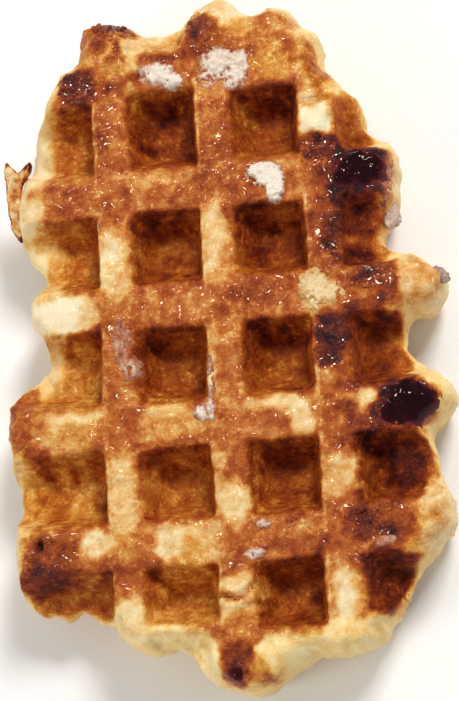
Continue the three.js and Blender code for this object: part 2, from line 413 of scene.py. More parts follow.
def face_height(x, y, inside, seed, crest_half, lumps):
    """Ribs: crest height less the pocket's depth times the share of the wall passed, kept under a
    slab that rounds off at the rim. Web: a thin plate with the swellings of the free rim on it. The
    height is the softened maximum of the two and of the lumps."""
    warp_x, warp_y = warped(x, y, seed)
    share = pocket_share(warp_x, warp_y, seed)
    crest = crest_half + 0.75 * rough(x, y, 6.0, seed + 5) + 0.50 * rough(x, y, 2.6, seed + 9, 2)
    slab = crest * round_edge(inside / (RIM_ROUND + 1.5 * noise(x, y, 14.0, seed + 6)))
    floor_less = 0.5 * rough(x, y, 5.0, seed + 11)
    ribs = crest - (POCKET_DEPTH + floor_less) * soft_ramp(share - 0.06, 0.07)
    for middle_x, middle_y, half_x, half_y, drop in HOLLOWS:
        gap = box_distance(warp_x, warp_y, middle_x, middle_y, half_x, half_y)
        ribs = ribs - drop * step(0.6, -3.5, gap)
    ribs = soft_min(ribs, slab, 1.2)
    web = WEB_HALF + 0.45 * rough(x, y, 5.0, seed + 8)
    for middle_x, middle_y, half_x, half_y, rise in PUFFS:
        puff = rise * dome(x, y, middle_x, middle_y, half_x, half_y) ** 0.5
        web = soft_max(web, puff, 2.4)
    web = web * round_edge(inside / WEB_ROUND)
    height = soft_max(ribs, web, 1.8)
    for middle_x, middle_y, half_x, half_y, rise in lumps:
        bulge = rise * dome(warp_x, warp_y, middle_x, middle_y, half_x, half_y) ** 0.6
        height = soft_max(height, bulge * round_edge(inside / LUMP_ROUND), 1.0)
    return height


# %% [markdown]
# ## Small relief of the upper face
# Up close the crust has more to it: a burr along the left edge of each long rib, where dough crept
# past the tooth, wrinkles round the upper part of the walls, small holes, a lumpy free rim and one
# deep crease across a rib. A bump in the material only turns the light and leaves the edges smooth,
# so all of these are added to the height.

# %% A crease and holes, and the way from a line
CREASE = [(-2.6, -59.2), (0.4, -60.0), (2.6, -58.8), (5.4, -57.2)]
HOLES = [
    (-42.9, -44.8, 1.1, 1, 2.2), (45.6, -44.6, 0.9, 0.8, 1.3), (-13.2, -48, 0.5, 1.7, 0.9),
    (-16.4, 61.8, 2.4, 1.2, 1.4), (30, -43, 1.4, 0.9, 0.8), (25, 52, 3.4, 0.6, 1.3),
]


def way_from_line(x, y, knots):
    """The distance to a chain of straight pieces."""
    nearest = np.full(np.shape(x), np.inf)
    for (ax, ay), (bx, by) in zip(knots[:-1], knots[1:]):
        along = (x - ax) * (bx - ax) + (y - ay) * (by - ay)
        share = np.clip(along / ((bx - ax) ** 2 + (by - ay) ** 2), 0, 1)
        gap = np.hypot(x - ax - share * (bx - ax), y - ay - share * (by - ay))
        nearest = np.minimum(nearest, gap)
    return nearest


print(f"one crease and {len(HOLES)} holes")


# %% Burrs and wrinkles
def from_left_edge(x):
    """The way from the left crest edge of the long rib whose crest the spot is on."""
    return (x - RIB_X + COLUMN_PITCH / 2) % COLUMN_PITCH - COLUMN_PITCH / 2 + CREST_ACROSS / 2


def beside_pocket(x, y, share):
    """A narrow uneven bell along the left crest edge of each long rib, where a pocket adjoins it."""
    way = from_left_edge(x + 0.35 * noise(x, y, 2.6, 63))
    bell = np.exp(-(((way - 0.45) / 0.5) ** 2))
    return bell * step(-0.5, -0.15, share) * step(0.3, 0.1, share)


def wall_wrinkles(x, y, share):
    """Waves that run round each pocket on the upper part of its walls, bent by noise."""
    wall = step(0.05, 0.2, share) * step(0.9, 0.5, share)
    waves = np.sin(2 * np.pi * (share * 3.2 + 0.5 * rough(x, y, 5.0, 33)))
    return wall * waves * (0.5 + 0.5 * noise(x, y, 6.0, 35))


# %% The upper face with its small relief
def small_relief(x, y, inside, share):
    """Burr: a ragged bead on the left crest edges. Wrinkles on the walls. Crease: a groove between
    two lips. The free rim is lumpy. Holes: bells turned down."""
    burr = 0.5 * beside_pocket(x, y, share) * (0.5 + noise(x, y, 1.1, 31))
    relief = (burr + 0.25 * wall_wrinkles(x, y, share)) * step(0.5, 3.0, inside)
    way = way_from_line(x, y, CREASE)
    crease = -1.6 * np.exp(-((way / 0.45) ** 2)) + 0.9 * np.exp(-(((way - 1.6) / 0.9) ** 2))
    relief = relief + crease * step(-0.5, 0.5, 4.9 - np.abs(x - 0.8))
    relief = relief + 0.45 * rough(x, y, 2.4, 37) * step(7.5, 4.0, inside) * step(0.4, 2.0, inside)
    for middle_x, middle_y, half_x, half_y, depth in HOLES:
        spread = ((x - middle_x) / half_x) ** 2 + ((y - middle_y) / half_y) ** 2
        relief = relief - depth * np.exp(-(spread**2))
    return relief


def crust_height(x, y, inside):
    """The height of the upper face above the table, with its small relief."""
    warp_x, warp_y = warped(x, y, UPPER)
    share = pocket_share(warp_x, warp_y, UPPER)
    height = MIDDLE + face_height(x, y, inside, UPPER, THICKNESS - MIDDLE, LUMPS)
    return height + small_relief(warp_x, warp_y, inside, share)


def crust_at(x, y):
    """The height of the upper face over each spot, from the spot alone."""
    return crust_height(x, y, way_in(x, y))


print(f"a crossing of two ribs lies at {crust_at(RIB_X, RIB_Y):.1f} mm")

# %% [markdown]
# ## The grid
# A heightfield needs most of its points where it is steep. An even grid as fine as the walls need
# would spend half of its faces on crests and floors. So the grid's lines are placed by a density:
# close together on the walls of the pockets, further apart elsewhere. Summing the density and
# reading the sum at even steps gives the lines.

# %% Grid lines that crowd on the walls
WALL_STEP = 0.42
CREST_STEP = 0.56
FLOOR_STEP = 0.72
SAMPLES = 8000
MARGIN = 2


def grid_lines(low, high, rib, pitch, crest):
    """Places along one axis whose spacing follows the pocket profile: the wanted number of lines per
    millimetre is summed along the axis, and the sum is read off at whole numbers."""
    place = np.linspace(low, high, SAMPLES)
    from_rib = np.abs((place - rib + pitch / 2) % pitch - pitch / 2)
    on_wall = step(crest / 2 - 1.2, crest / 2 - 0.4, from_rib)
    on_floor = step(crest / 2 + 4.4, crest / 2 + 5.6, from_rib)
    spacing = CREST_STEP + (WALL_STEP - CREST_STEP) * on_wall
    spacing = spacing + (FLOOR_STEP - WALL_STEP) * on_floor
    count = np.cumsum((place[1] - place[0]) / spacing)
    return np.interp(np.arange(0, count[-1], 1.0), count, place)


reach = np.abs(RIM).max(axis=0) + MARGIN
line_x = grid_lines(-reach[0], reach[0], RIB_X, COLUMN_PITCH, CREST_ACROSS)
line_y = grid_lines(-reach[1], reach[1], RIB_Y, ROW_PITCH, CREST_ALONG)
grid_x, grid_y = np.meshgrid(line_x, line_y)
print(f"{len(line_x)} by {len(line_y)} grid lines")

# %% [markdown]
# ## Trimming the grid at the rim
# Only squares that lie wholly inside the outline are kept. Their outer points then slide out to the
# rim, and points near it crowd towards it, so that the round edge gets as many rows of faces as the
# flat parts do. The upper and lower faces share the points on the rim, which closes the mesh.

# %% Squares inside the outline
TRIMS = 4
LEAST_IN = 0.05


def four_corners(grid):
    """A grid's values at the four corners of each of its squares."""
    return [grid[:-1, :-1], grid[:-1, 1:], grid[1:, :-1], grid[1:, 1:]]


def trimmed(wanted):
    """Squares whose four corners are wanted, less those with fewer than two neighbours, a few
    times over."""
    kept = np.logical_and.reduce(four_corners(wanted))
    for _ in range(TRIMS):
        around = np.pad(kept, 1).astype(int)
        beside = around[1:-1, :-2] + around[1:-1, 2:]
        sides = around[:-2, 1:-1] + around[2:, 1:-1] + beside
        kept = kept & (sides >= 2)
    return kept


def corner_use(kept):
    """Which grid points any kept square uses, and which of them lie on the outline."""
    four = four_corners(np.pad(kept, 1))
    used = np.logical_or.reduce(four)
    return used, used & ~np.logical_and.reduce(four)


inside = depth_inside(grid_x, grid_y)
kept = trimmed(inside > LEAST_IN)
used, on_rim = corner_use(kept)
print(f"{kept.sum()} squares, {on_rim.sum()} points on the rim")

# %% Points slide towards the rim
CROWD = 6.5
slope_y, slope_x = np.gradient(inside, line_y, line_x)
steepness = np.maximum(np.hypot(slope_x, slope_y), 0.5)
way = np.clip(inside / CROWD, 0, 1)
wanted = np.where(way < 1, CROWD * (1 - np.cos(way * np.pi / 2)), inside)
wanted = np.where(on_rim, 0, wanted)
move = np.where(used, inside - wanted, 0)
flat_x = grid_x - move * slope_x / steepness
flat_y = grid_y - move * slope_y / steepness
inside = np.where(on_rim, 0, way_in(flat_x, flat_y))
print(f"points slid by up to {np.abs(move).max():.1f} mm")

# %% Heights of both faces
upper = crust_height(flat_x, flat_y, inside)
lower = MIDDLE - face_height(flat_x, flat_y, inside, LOWER, MIDDLE, [])
lower = np.maximum(lower, 0.0)
level = MIDDLE + 1.2 * noise(flat_x, flat_y, 16.0, 9)
upper = np.where(on_rim, level, upper)
lower = np.where(on_rim, level, lower)
print(f"heights from {lower[used].min():.1f} to {upper[used].max():.1f} mm")

# %% [markdown]
# ## From arrays to a mesh
# bmesh can add points and faces one by one, which takes minutes for a crust of this size. So a
# piece's points and faces go into Blender as whole arrays. Values that the materials read, such as
# how brown a spot is, are stored on the points as attributes.


# %% Mesh helpers
def make_mesh(name, points, faces, attributes):
    """A piece from points in millimetres, faces of four corners, and values per point. A face that
    names one corner twice in a row becomes a triangle."""
    corners = np.array(faces, np.int64)
    repeated = corners == np.roll(corners, -1, axis=1)
    width = np.where(repeated.any(axis=1), 3, 4)
    loops = corners[~repeated]
    mesh = bpy.data.meshes.new(name)
    mesh.vertices.add(len(points))
    mesh.vertices.foreach_set("co", (np.asarray(points) * MM).astype(np.float32).ravel())
    mesh.loops.add(loops.size)
    mesh.loops.foreach_set("vertex_index", loops.astype(np.int32))
    mesh.polygons.add(len(corners))
    mesh.polygons.foreach_set("loop_start", (np.cumsum(width) - width).astype(np.int32))
    mesh.polygons.foreach_set("use_smooth", np.ones(len(corners), bool))
    for key, values in attributes.items():
        layer = mesh.attributes.new(key, "FLOAT", "POINT")
        layer.data.foreach_set("value", np.asarray(values, np.float32).ravel())
    mesh.update(calc_edges=True)
    mesh.validate()
    piece = bpy.data.objects.new(name, mesh)
    bpy.context.scene.collection.objects.link(piece)
    print(f"{name}: {len(points)} points, {len(corners)} faces")
    return piece


def claim(piece, material):
    """Every piece rides on the waffle's one body, stands for its solid and wears one material."""
    piece.data.materials.append(material)
    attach(piece, "root")
    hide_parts("waffle")
    return piece


# %% [markdown]
# ## Where the crust is brown, pale, glossy or amber
# Dough browns where it touches hot iron. A spot that the iron didn't reach stays pale, above all on
# the free rim, and melted sugar burns dark. Walls and floors turn a deeper amber than the dry crests,
# partly from butter and partly as painted shade, and they are browner, the far walls most, as painted
# shade. It could be painted with a brush onto an image, but values on the points need no image and
# no unwrapping, and fit the crust at any size. A general rule comes from the distance to the rim and
# the place in a pocket, and listed patches add what this one waffle has, some of them painted shade
# and a few painted light. Each patch is a round-cornered spot whose border is pushed about by noise.

# %% Patches: middle x, y, half sizes x, y, brown from 0 to 1, amber from 0 to 1, strength
FAR_PATCHES = [
    (6.2, 75.4, 7.4, 5.4, 0.06, 0.1, 1), (8.8, 71.6, 3, 3, 0.26, 0.9, 0.9),
    (17.4, 76.2, 6.4, 4.4, 0.1, 0, 0.9), (17, 71.6, 5.6, 3.4, 0.44, 0.1, 0.9),
    (16.6, 70.2, 2.4, 1.2, 0.2, 0, 0.6), (-20, 68.6, 8.5, 5.6, 0.3, 0.6, 1),
    (-25.2, 70.6, 1.8, 2.2, 0.68, 0.5, 0.9), (-19.8, 68.8, 1.5, 1.8, 0.7, 0.6, 0.9),
    (-22.4, 66, 2, 1.2, 0.68, 0.6, 0.8), (-16.2, 69.4, 2.4, 2.4, 0.03, 0.3, 1),
    (-14.6, 71, 3.4, 3, 0.12, 0.2, 0.8), (-21.6, 74.4, 5.6, 2.6, 0.84, 0.3, 0.95),
    (-29, 71.5, 1.6, 5, 0.6, 0.3, 0.8), (0.2, 69.8, 4.4, 5.2, 0.66, 0.3, 1),
    (-2, 71.4, 1.8, 3.4, 0.78, 0.3, 0.9), (4.6, 68.4, 2.4, 3.6, 0.5, 1, 0.9),
    (-30, 60.8, 4.8, 4.4, 0.8, 0, 1), (-32, 62.4, 2, 2, 0.92, 0, 0.9),
    (-21.2, 60, 2.4, 1.2, 0.8, 0.5, 1), (-17.6, 59, 1.4, 1.8, 0.14, 0.3, 0.9),
    (-12, 65.7, 5.6, 1.2, 0.72, 0.1, 1), (-8, 69.2, 4.6, 2.6, 0.34, 0.7, 0.9),
    # painted shade: (-16.6, 61.8) darkens the hole there
    (-17.2, 64.4, 1.4, 3, 0.08, 0.4, 0.9), (-16.6, 61.8, 2.4, 1.3, 0.72, 1, 0.95),
    (15.2, 62, 4.6, 5.2, 0.3, 1, 0.8), (26, 61.2, 4.4, 6.6, 0.48, 1, 1),
    (24.8, 67.6, 3.8, 1.6, 0.16, 0.3, 0.9), (21.4, 60, 0.8, 4, 0.2, 0.1, 0.7),
]
LEFT_PATCHES = [
    # pale dough made paler still as painted light on the shaded left rim: (-41, 49) and (-45.5, 22)
    (-41, 49, 3.2, 12, -0.02, 0.5, 1), (-37.6, 47, 1.5, 8, 0.36, 0.8, 0.8),
    (-34.2, 33.4, 5, 3.8, 0.56, 0, 0.7), (-41.6, 32, 2.8, 4.6, 0.14, 0.2, 1),
    # painted shade: (-40.4, 26) is a darker band at the top of the pocket
    (-45.5, 22, 3.6, 9, -0.02, 0.6, 1), (-40.4, 26, 6, 2.2, 0.4, 0.9, 0.7),
    (-39.4, 20, 2.6, 6, 0.26, 0.7, 0.9), (-36.8, 7.2, 8.4, 5, -0.02, 0, 1),
    (-29.8, 7.6, 2.6, 3.4, 0.2, 0.3, 0.7), (-38, 11.4, 6, 0.9, 0.14, 0.4, 0.6),
    (-42.2, 1.6, 3.2, 1.4, 0.62, 0.6, 0.9), (-40, -3, 1.2, 6, 0.14, 0.4, 0.9),
    (-27, 7.6, 3, 3, 0.34, 0.1, 0.5), (-47.6, -14.6, 3.6, 9.6, 0.55, 0.6, 0.95),
    (-36, -20.4, 8, 4.2, 0.3, 0.5, 0.85), (-34, -17, 8, 1.7, 0.1, 0.3, 0.95),
    (-38.4, -23, 5, 1.2, 0.16, 0, 0.6), (-46, -34, 4.2, 6, 0.3, 1, 1),
    (-40.6, -34.5, 3.6, 5, 0.46, 1, 0.8), (-50.4, -36, 1.2, 12, 0.06, 0, 0.9),
    # painted shade: (-42.9, -45) blackens the hole there
    (-41, -47, 6.8, 4.4, 0.66, 0.3, 0.9), (-42.9, -45, 0.8, 0.9, 1, 0, 1),
    # painted shade: (-43.4, -53) darkens the pocket's far wall
    (-29.6, -45.2, 3.8, 3.4, 0.1, 0.1, 0.95), (-43.4, -53, 7.4, 3, 0.8, 0.2, 1),
    (-40, -58.6, 8.6, 3, 0.52, 0.7, 1), (-30.4, -57, 4, 5, 0.58, 0.4, 0.7),
    (-45, -57.6, 1.4, 1.8, 0.26, 1, 0.8),
]
MIDDLE_PATCHES = [
    (-23.2, 52, 3.2, 3, 0.4, 0.2, 0.5), (-23.2, 18.2, 3.9, 7.4, 0.1, 0.1, 1),
    (-23.9, 17.6, 0.9, 1.1, 0.26, 1, 0.9), (-20, 17.6, 1, 7, 0.22, 0.7, 0.7),
    (0.4, 21.5, 3.4, 9.6, 0.17, 0.2, 0.95), (2.6, 15.4, 1.8, 4.6, 0.42, 0.3, 0.7),
    (-13.2, 37.2, 5.4, 1.4, 0.22, 0.3, 0.8), (-7, 38.2, 4.4, 0.9, 0.26, 0.3, 0.7),
    (17.6, 37, 2.6, 1.4, 0.26, 0.1, 0.7), (-23.4, -33.6, 3.2, 9.8, 0.17, 0.3, 1),
    (-2.2, -9.4, 0.8, 6, -0.02, 0, 1), (-12, -17.6, 6.6, 2.2, 0.14, 0.4, 0.9),
    (-13, -22, 5, 1.8, 0.36, 0.1, 0.6), (0.6, -38.2, 3.4, 5.4, 0.12, 0.2, 1),
    (-1.4, -32, 1.2, 5, 0.16, 0.1, 0.8), (12.4, -17, 7.4, 1.8, 0.16, 0.3, 1),
    (17.6, -20.2, 2.8, 4, 0.12, 0.1, 1), (-13.6, -46.8, 3, 4, 0.04, 0, 1),
    (-9, -43.6, 6, 1, 0.2, 0.2, 0.8), (-7, -49.9, 5, 1, 0.14, 0.1, 0.8),
    (-18, -46.8, 2, 3, 0.4, 0.5, 0.7), (-23.6, -45.8, 3, 4.2, 0.26, 0.5, 0.8),
    (14, -44.8, 6.6, 1.3, 0.24, 0.3, 0.7), (12.6, -48.6, 5, 1.6, 0.66, 0, 0.7),
    (9.4, 8, 8, 3, 0.58, 0, 0.7), (-6, 7.4, 6, 3, 0.36, 0.1, 0.6),
    (2, -20, 4, 4, 0.5, 0, 0.5), (0.6, -4, 3.2, 7, 0.38, 0.2, 0.6),
    (10, -45, 3.4, 2.6, 0.5, 0, 0.5), (9.6, 8, 6.4, 3.4, 0.66, 0, 0.6),
    (-9, 32.8, 8, 2.4, 0.56, 0.1, 0.5), (12, 46, 7, 7, 0.5, 1, 0.5),
    (-11, -60, 7, 4, 0.36, 1, 0.6), (-10.4, -20.8, 7.6, 2.8, 0.28, 0.4, 0.8),
    (-23.2, -18.8, 3.2, 4.4, 0.4, 0.3, 0.6), (-23.2, -6, 2.6, 7, 0.42, 0.2, 0.4),
    (-8.6, -46.6, 6.4, 3.6, 0.15, 0.3, 0.85), (-9.2, -47.4, 1.7, 1.9, 0.38, 1, 0.85),
    (-10.4, -57.6, 7.6, 8, 0.36, 1, 0.85), (-11, -5.6, 6, 6, 0.46, 1, 0.6),
    # painted light: (-11.4, -34) lightens a shaded pocket; (-31.6, 44.6) and (-31.6, -8) first-column
    # floors
    (-11.4, -34, 8, 8, 0.38, 1, 0.6), (-31.6, 44.6, 5, 8, 0.4, 0.8, 0.6),
    (-31.6, -8, 6, 8, 0.36, 0.9, 0.6),
]
RIGHT_PATCHES = [
    # painted shade: (25.4, 47.2) is a brown ring round the foot of the pale lump
    (25.4, 47.2, 4.8, 5.4, 0.46, 0.6, 0.9), (25.2, 47.2, 3.7, 4.1, -0.04, 0, 1),
    (26.6, 49, 2.2, 2.6, -0.02, 0, 1), (23.4, 49.3, 1.7, 1.8, -0.02, 0, 1),
    # painted shade: (26.6, 51.9) darkens the crease above the lump
    (26.6, 51.9, 2.6, 0.7, 0.44, 0.6, 0.9), (23.6, 53.8, 2.2, 1.8, 0.14, 0, 0.9),
    (32.6, 46.8, 5, 6.8, 0.56, 0.9, 1), (35.4, 48, 1.4, 5, 0.4, 0.9, 0.8),
    (25.2, 40.4, 4.4, 2.6, 0.8, 0, 1), (34.2, 34, 8, 6.4, 0.97, 0, 1),
    # (33.6, 27.4) and (32.8, 30.8): dark crust round the pool, and painted shade on the far wall below it
    (33.6, 27.4, 5.6, 3.6, 0.84, 0.2, 0.9), (32.8, 30.8, 7, 2.6, 0.94, 0, 1),
    (41.9, 33, 1.9, 6.8, 0.26, 0.1, 1), (38.6, 24, 2.4, 3.6, 0.3, 0, 0.7),
    (25.6, 21, 3.8, 9, 0.62, 0.2, 0.8), (24.6, 25.4, 2.6, 0.8, 0.86, 0, 0.8),
    (32, 20.4, 7.6, 6.8, 0.8, 0.6, 0.95), (30.6, 19, 2.6, 1.2, 0.4, 0.9, 0.8),
    (37, 18.6, 1.5, 3.4, 0.34, 0.8, 0.8), (36, 12.2, 4.6, 1.9, 0.72, 0.6, 0.9),
    (34.6, 10.2, 3.4, 1.4, 0.86, 0, 0.9), (38.6, 6, 3.6, 3, 0.78, 0.2, 0.8),
    (34, 6, 4, 1.4, 0.46, 0.9, 0.8), (29.4, 7.8, 2.6, 4, 0.54, 0, 0.8),
    (23, 7.4, 3.2, 4.2, 0.05, 0.1, 1), (46.8, 8, 5, 7.4, 0.17, 0.2, 1),
    (44.2, 3.8, 1.8, 1.2, 0.3, 0.7, 0.8), (46.4, 11.2, 2, 1, 0.3, 0.7, 0.8),
    (49, 7.4, 1.2, 1.6, 0.28, 0.4, 0.7), (46, 7.6, 0.9, 1.2, 0.3, 0.7, 0.7),
    # painted shade: (30.2, 0.6) darkens the top of the pocket
    (25.2, -3.4, 3.6, 6.4, 0.87, 0, 1), (30.2, 0.6, 2.4, 3.8, 0.84, 0.2, 0.9),
    (39, 0, 3.4, 2, 0.84, 0.2, 0.9), (36, -7, 6.4, 6, 0.66, 1, 0.8),
    (32.4, -17.6, 3.2, 2.3, 0.14, 0.3, 1), (41.4, -18.8, 6.2, 5.8, 0.99, 0, 1),
    (34.6, -22.6, 2.8, 3.2, 0.88, 0, 0.9), (38, -32, 8.4, 8.8, 0.68, 1, 0.9),
    # painted shade: (39.2, -32.4) on the pocket's right side, (33.6, -27.6) on its far wall
    (39.2, -32.4, 3.6, 5.4, 0.88, 0.4, 0.9), (33.6, -27.6, 6, 1.8, 0.84, 0.6, 0.8),
    (25.4, -34, 4.2, 5, 0.22, 0.1, 1), (33.4, -45, 7.6, 5, 0.68, 0.1, 0.9),
    (30.2, -43.8, 2.4, 2.2, 0.82, 0, 0.9), (36.8, -44.4, 2.6, 2.6, 0.5, 1, 0.7),
    (35.6, -47.4, 1.8, 1.5, 0.86, 0, 0.9), (32.2, -50, 2.2, 0.9, 0.22, 0, 0.8),
    (41.6, -46.4, 1.5, 5.6, 0.38, 1, 0.9), (46.4, -45, 4, 9, 0.2, 0.3, 1),
    # painted shade: (45.6, -44.6) darkens a pit, (34, -54.2) a pocket's far wall
    (45.6, -44.6, 0.8, 0.8, 0.42, 0.7, 0.9), (34, -54.2, 8, 2.8, 0.84, 0.5, 0.95),
    (34, -59.2, 6, 6.4, 0.77, 1, 1), (24.6, -62.6, 2.9, 9.4, 0.07, 0.1, 1),
    (28, -61, 1.6, 7, 0.28, 0.7, 0.8),
]
NEAR_PATCHES = [
    (-19, -67.4, 10, 3.4, 0.07, 0.8, 1), (-21.6, -55.6, 3.8, 3.8, 0.5, 0.4, 0.8),
    (-22.4, -61.8, 4, 4, 0.09, 0.3, 1), (-17.2, -61.8, 2.6, 1.6, 0.16, 0.5, 0.9),
    (-7.6, -73, 4.6, 7, 0.06, 0.8, 1), (11.6, -73.6, 8.6, 6.4, 0.08, 0.8, 1),
    (27.6, -70, 9, 4.4, 0.08, 0.8, 1), (1.8, -56.8, 4.8, 2.2, 0.06, 0.3, 1),
    (1, -61.8, 4.6, 1.9, 0.07, 0.3, 1), (1, -65.6, 3.4, 3.6, 0.42, 0.6, 0.9),
    (0.6, -73.4, 3.4, 4.8, 0.72, 0.3, 1), (0.2, -76, 2.6, 2, 0.88, 0, 0.9),
    (5.2, -75.6, 2.2, 3, 0.36, 1, 0.9), (6.8, -78, 4, 0.6, 0.66, 0.3, 0.9),
]
PATCHES = FAR_PATCHES + LEFT_PATCHES + MIDDLE_PATCHES + RIGHT_PATCHES + NEAR_PATCHES
print(f"{len(PATCHES)} patches")

# %% A patch and the general rule
SQUARENESS = 2.2
SOFT_BORDER = 1.2


def patch_mask(x, y, middle_x, middle_y, half_x, half_y):
    """One inside a round-cornered spot and zero outside, over a soft border."""
    across = np.abs((x - middle_x) / half_x) ** SQUARENESS
    along = np.abs((y - middle_y) / half_y) ** SQUARENESS
    edge = (across + along) ** (1 / SQUARENESS)
    soft = SOFT_BORDER / min(half_x, half_y)
    return step(1 + soft, 1 - soft, edge)


def browning_and_shade(x, y, inside, share, seed):
    """Brown where iron touched, pale near the rim, a golden band between, everywhere uneven. Walls
    and floors are browner than crests as painted shade, the far walls most; those of the first column
    are least brown, as painted light; all of the last column is browner. It comes with the amber that
    butter and painted shade give to walls, floors and that band."""
    uneven = 0.17 * rough(x, y, 7.0, seed) + 0.21 * rough(x, y, 2.4, seed + 2)
    way = inside + 1.5 * rough(x, y, 6.0, seed + 4) + 0.5 * rough(x, y, 1.6, seed + 5)
    pressed = step(3.0, 6.4, way)
    on_wall = step(-0.04, 0.16, share)
    on_floor = step(0.8, 1.1, share)
    # painted shade: walls and floors browner, far walls most; painted light: first column's walls less
    first_column = step(-28.0, -31.0, x) * on_wall
    past_far_edge = (RIB_Y - CREST_ALONG / 2 - y) % ROW_PITCH
    far_wall = on_wall * step(7.5, 4.0, past_far_edge)
    brown = 0.50 + 0.08 * on_wall + 0.03 * on_floor + 0.11 * far_wall
    last_column = step(26.5, 29.5, x) * step(48.0, 42.0, y)
    brown = brown - 0.19 * first_column + 0.13 * last_column + uneven
    pale = 0.09 + 0.07 * rough(x, y, 5.0, seed + 6)
    amber = np.clip(0.2 + 0.9 * on_wall + 0.35 * rough(x, y, 6.0, seed + 7), 0, 1)
    band = step(0.0, 0.5, pressed) * step(1.0, 0.5, pressed)
    return pale + pressed * (brown - pale), amber * pressed + 0.7 * band + 0.8 * (1 - pressed)


print(f"a patch's mask is {patch_mask(3.0, 0.0, 0.0, 0.0, 3.0, 3.0):.2f} at its edge")


# %% The upper face painted
def painted(x, y, inside):
    """Browning, amber and gloss of the upper face: the general rule, a pale burr line, partly painted
    light, and then each patch over the ones before it, its border pushed about by noise. Whatever a
    patch says, a closed pocket's wall gets most of the way to a least browning, as painted shade, and
    the rim's upright side most of the way to cream, partly as painted light on its shaded side. The
    crease is darker as painted shade, and gloss grows with the browning of a crest."""
    share = pocket_share(*warped(x, y, UPPER), UPPER)
    brown_here, amber_here = browning_and_shade(x, y, inside, share, 41)
    # pale burr line: partly pale dough, partly painted light on the edge
    burr = 0.3 * beside_pocket(x, y, share) * (0.7 + rough(x, y, 2.2, 61, 2))
    brown_here = brown_here - burr
    # painted shade in the wall wrinkles' grooves, painted light on their ridges
    brown_here = brown_here - 0.07 * wall_wrinkles(x, y, share)
    push_x = x + 1.9 * rough(x, y, 4.6, 71) + 0.5 * noise(x, y, 1.2, 72)
    push_y = y + 1.9 * rough(x, y, 4.6, 73) + 0.5 * noise(x, y, 1.2, 74)
    mottle = 0.11 * rough(x, y, 1.6, 75) + 0.09 * rough(x, y, 4.5, 76)
    for middle_x, middle_y, half_x, half_y, brown, amber, strength in PATCHES:
        mask = strength * patch_mask(push_x, push_y, middle_x, middle_y, half_x, half_y)
        brown_here = brown_here + mask * (brown + mottle - brown_here)
        amber_here = amber_here + mask * (amber - amber_here)
    # painted shade on closed pockets' walls, less in the near left ones as painted light
    wall = step(0.0, 0.2, share) * step(24.0, 21.5, np.abs(x))
    least = 0.45 - 0.09 * step(-18.0, -26.0, y) * step(4.0, 0.0, x) + mottle
    brown_here = brown_here + 0.8 * wall * np.maximum(least - brown_here, 0)
    amber_here = amber_here + 0.7 * wall * (1 - amber_here)
    # painted shade: the crease drawn darker
    way = way_from_line(push_x, push_y, CREASE)
    brown_here = brown_here + 0.24 * np.exp(-((way / 0.5) ** 2))
    # the rim's upright side towards cream: pale dough, and painted light on its shaded side
    side = 0.8 * step(1.2, 0.2, inside + 0.7 * rough(x, y, 5.0, 79))
    brown_here = brown_here + side * (0.07 - brown_here)
    gloss_here = 0.24 + 0.76 * step(0.36, 0.78, brown_here) + 0.3 * rough(x, y, 3.0, 77)
    return brown_here, amber_here, gloss_here * step(0.2, -0.1, share)


brown_up, amber_up, gloss_up = painted(flat_x, flat_y, inside)
print(f"browning from {brown_up[used].min():.2f} to {brown_up[used].max():.2f}")

# %% Values for the lower face
share_down = pocket_share(*warped(flat_x, flat_y, LOWER), LOWER)
brown_down, amber_down = browning_and_shade(flat_x, flat_y, inside, share_down, 141)
scorched = step(0.42, 0.62, rough(flat_x, flat_y, 15.0, 151)) * step(4.0, 9.0, inside)
brown_down = brown_down + scorched * (0.86 - brown_down)
brown_down = np.where(on_rim, brown_up, brown_down)
gloss_down = 0.20 + 0.60 * step(0.5, 0.9, brown_down)
print(f"{scorched[used].mean():.0%} of the lower face is scorched")

# %% [markdown]
# ## One closed surface
# A plane given thickness by a Solidify modifier would have two like faces, but the waffle's lower
# face has pockets of its own. So both faces are laid over the same grid. They share the points on the
# outline, which closes the surface without a seam.


# %% One closed surface out of both faces
def squares(index, kept, turned):
    """The corners of every kept square, anticlockwise as seen from its own side."""
    ring = [index[:-1, :-1], index[:-1, 1:], index[1:, 1:], index[1:, :-1]]
    if turned:
        ring = ring[::-1]
    return np.stack([corner[kept] for corner in ring], axis=1)


def shell(x, y, upper, lower, kept, attributes):
    """Two faces over the same grid that share their points on the outline. Attributes come as a
    pair of grids each, for the upper and for the lower face."""
    used, on_rim = corner_use(kept)
    upper_index = np.full(x.shape, -1)
    upper_index[used] = np.arange(used.sum())
    lower_index = upper_index.copy()
    own = used & ~on_rim
    lower_index[own] = used.sum() + np.arange(own.sum())
    pairs = [(x, x), (y, y), (upper, lower)] + list(attributes.values())
    columns = [np.concatenate([up[used], down[own]]) for up, down in pairs]
    faces = np.concatenate([squares(upper_index, kept, False), squares(lower_index, kept, True)])
    values = {key: np.clip(column, 0, 1) for key, column in zip(attributes, columns[3:])}
    return np.column_stack(columns[:3]), faces, values


def sheet(x, y, top, under, wanted, values):
    """A closed sheet over the wanted points of a grid, at least a tenth of a millimetre thick, whose
    top falls to its underside at its edge."""
    kept = trimmed(wanted)
    _, edge = corner_use(kept)
    pairs = {key: (value, value) for key, value in values.items()}
    return shell(x, y, np.where(edge, under, np.maximum(top, under + 0.1)), under, kept, pairs)


waffle_pairs = {
    "brown": (brown_up, brown_down),
    "amber": (amber_up, amber_down),
    "gloss": (gloss_up, gloss_down),
}
waffle_points, waffle_faces, waffle_values = shell(flat_x, flat_y, upper, lower, kept, waffle_pairs)
print(f"{len(waffle_faces)} faces in one closed surface")

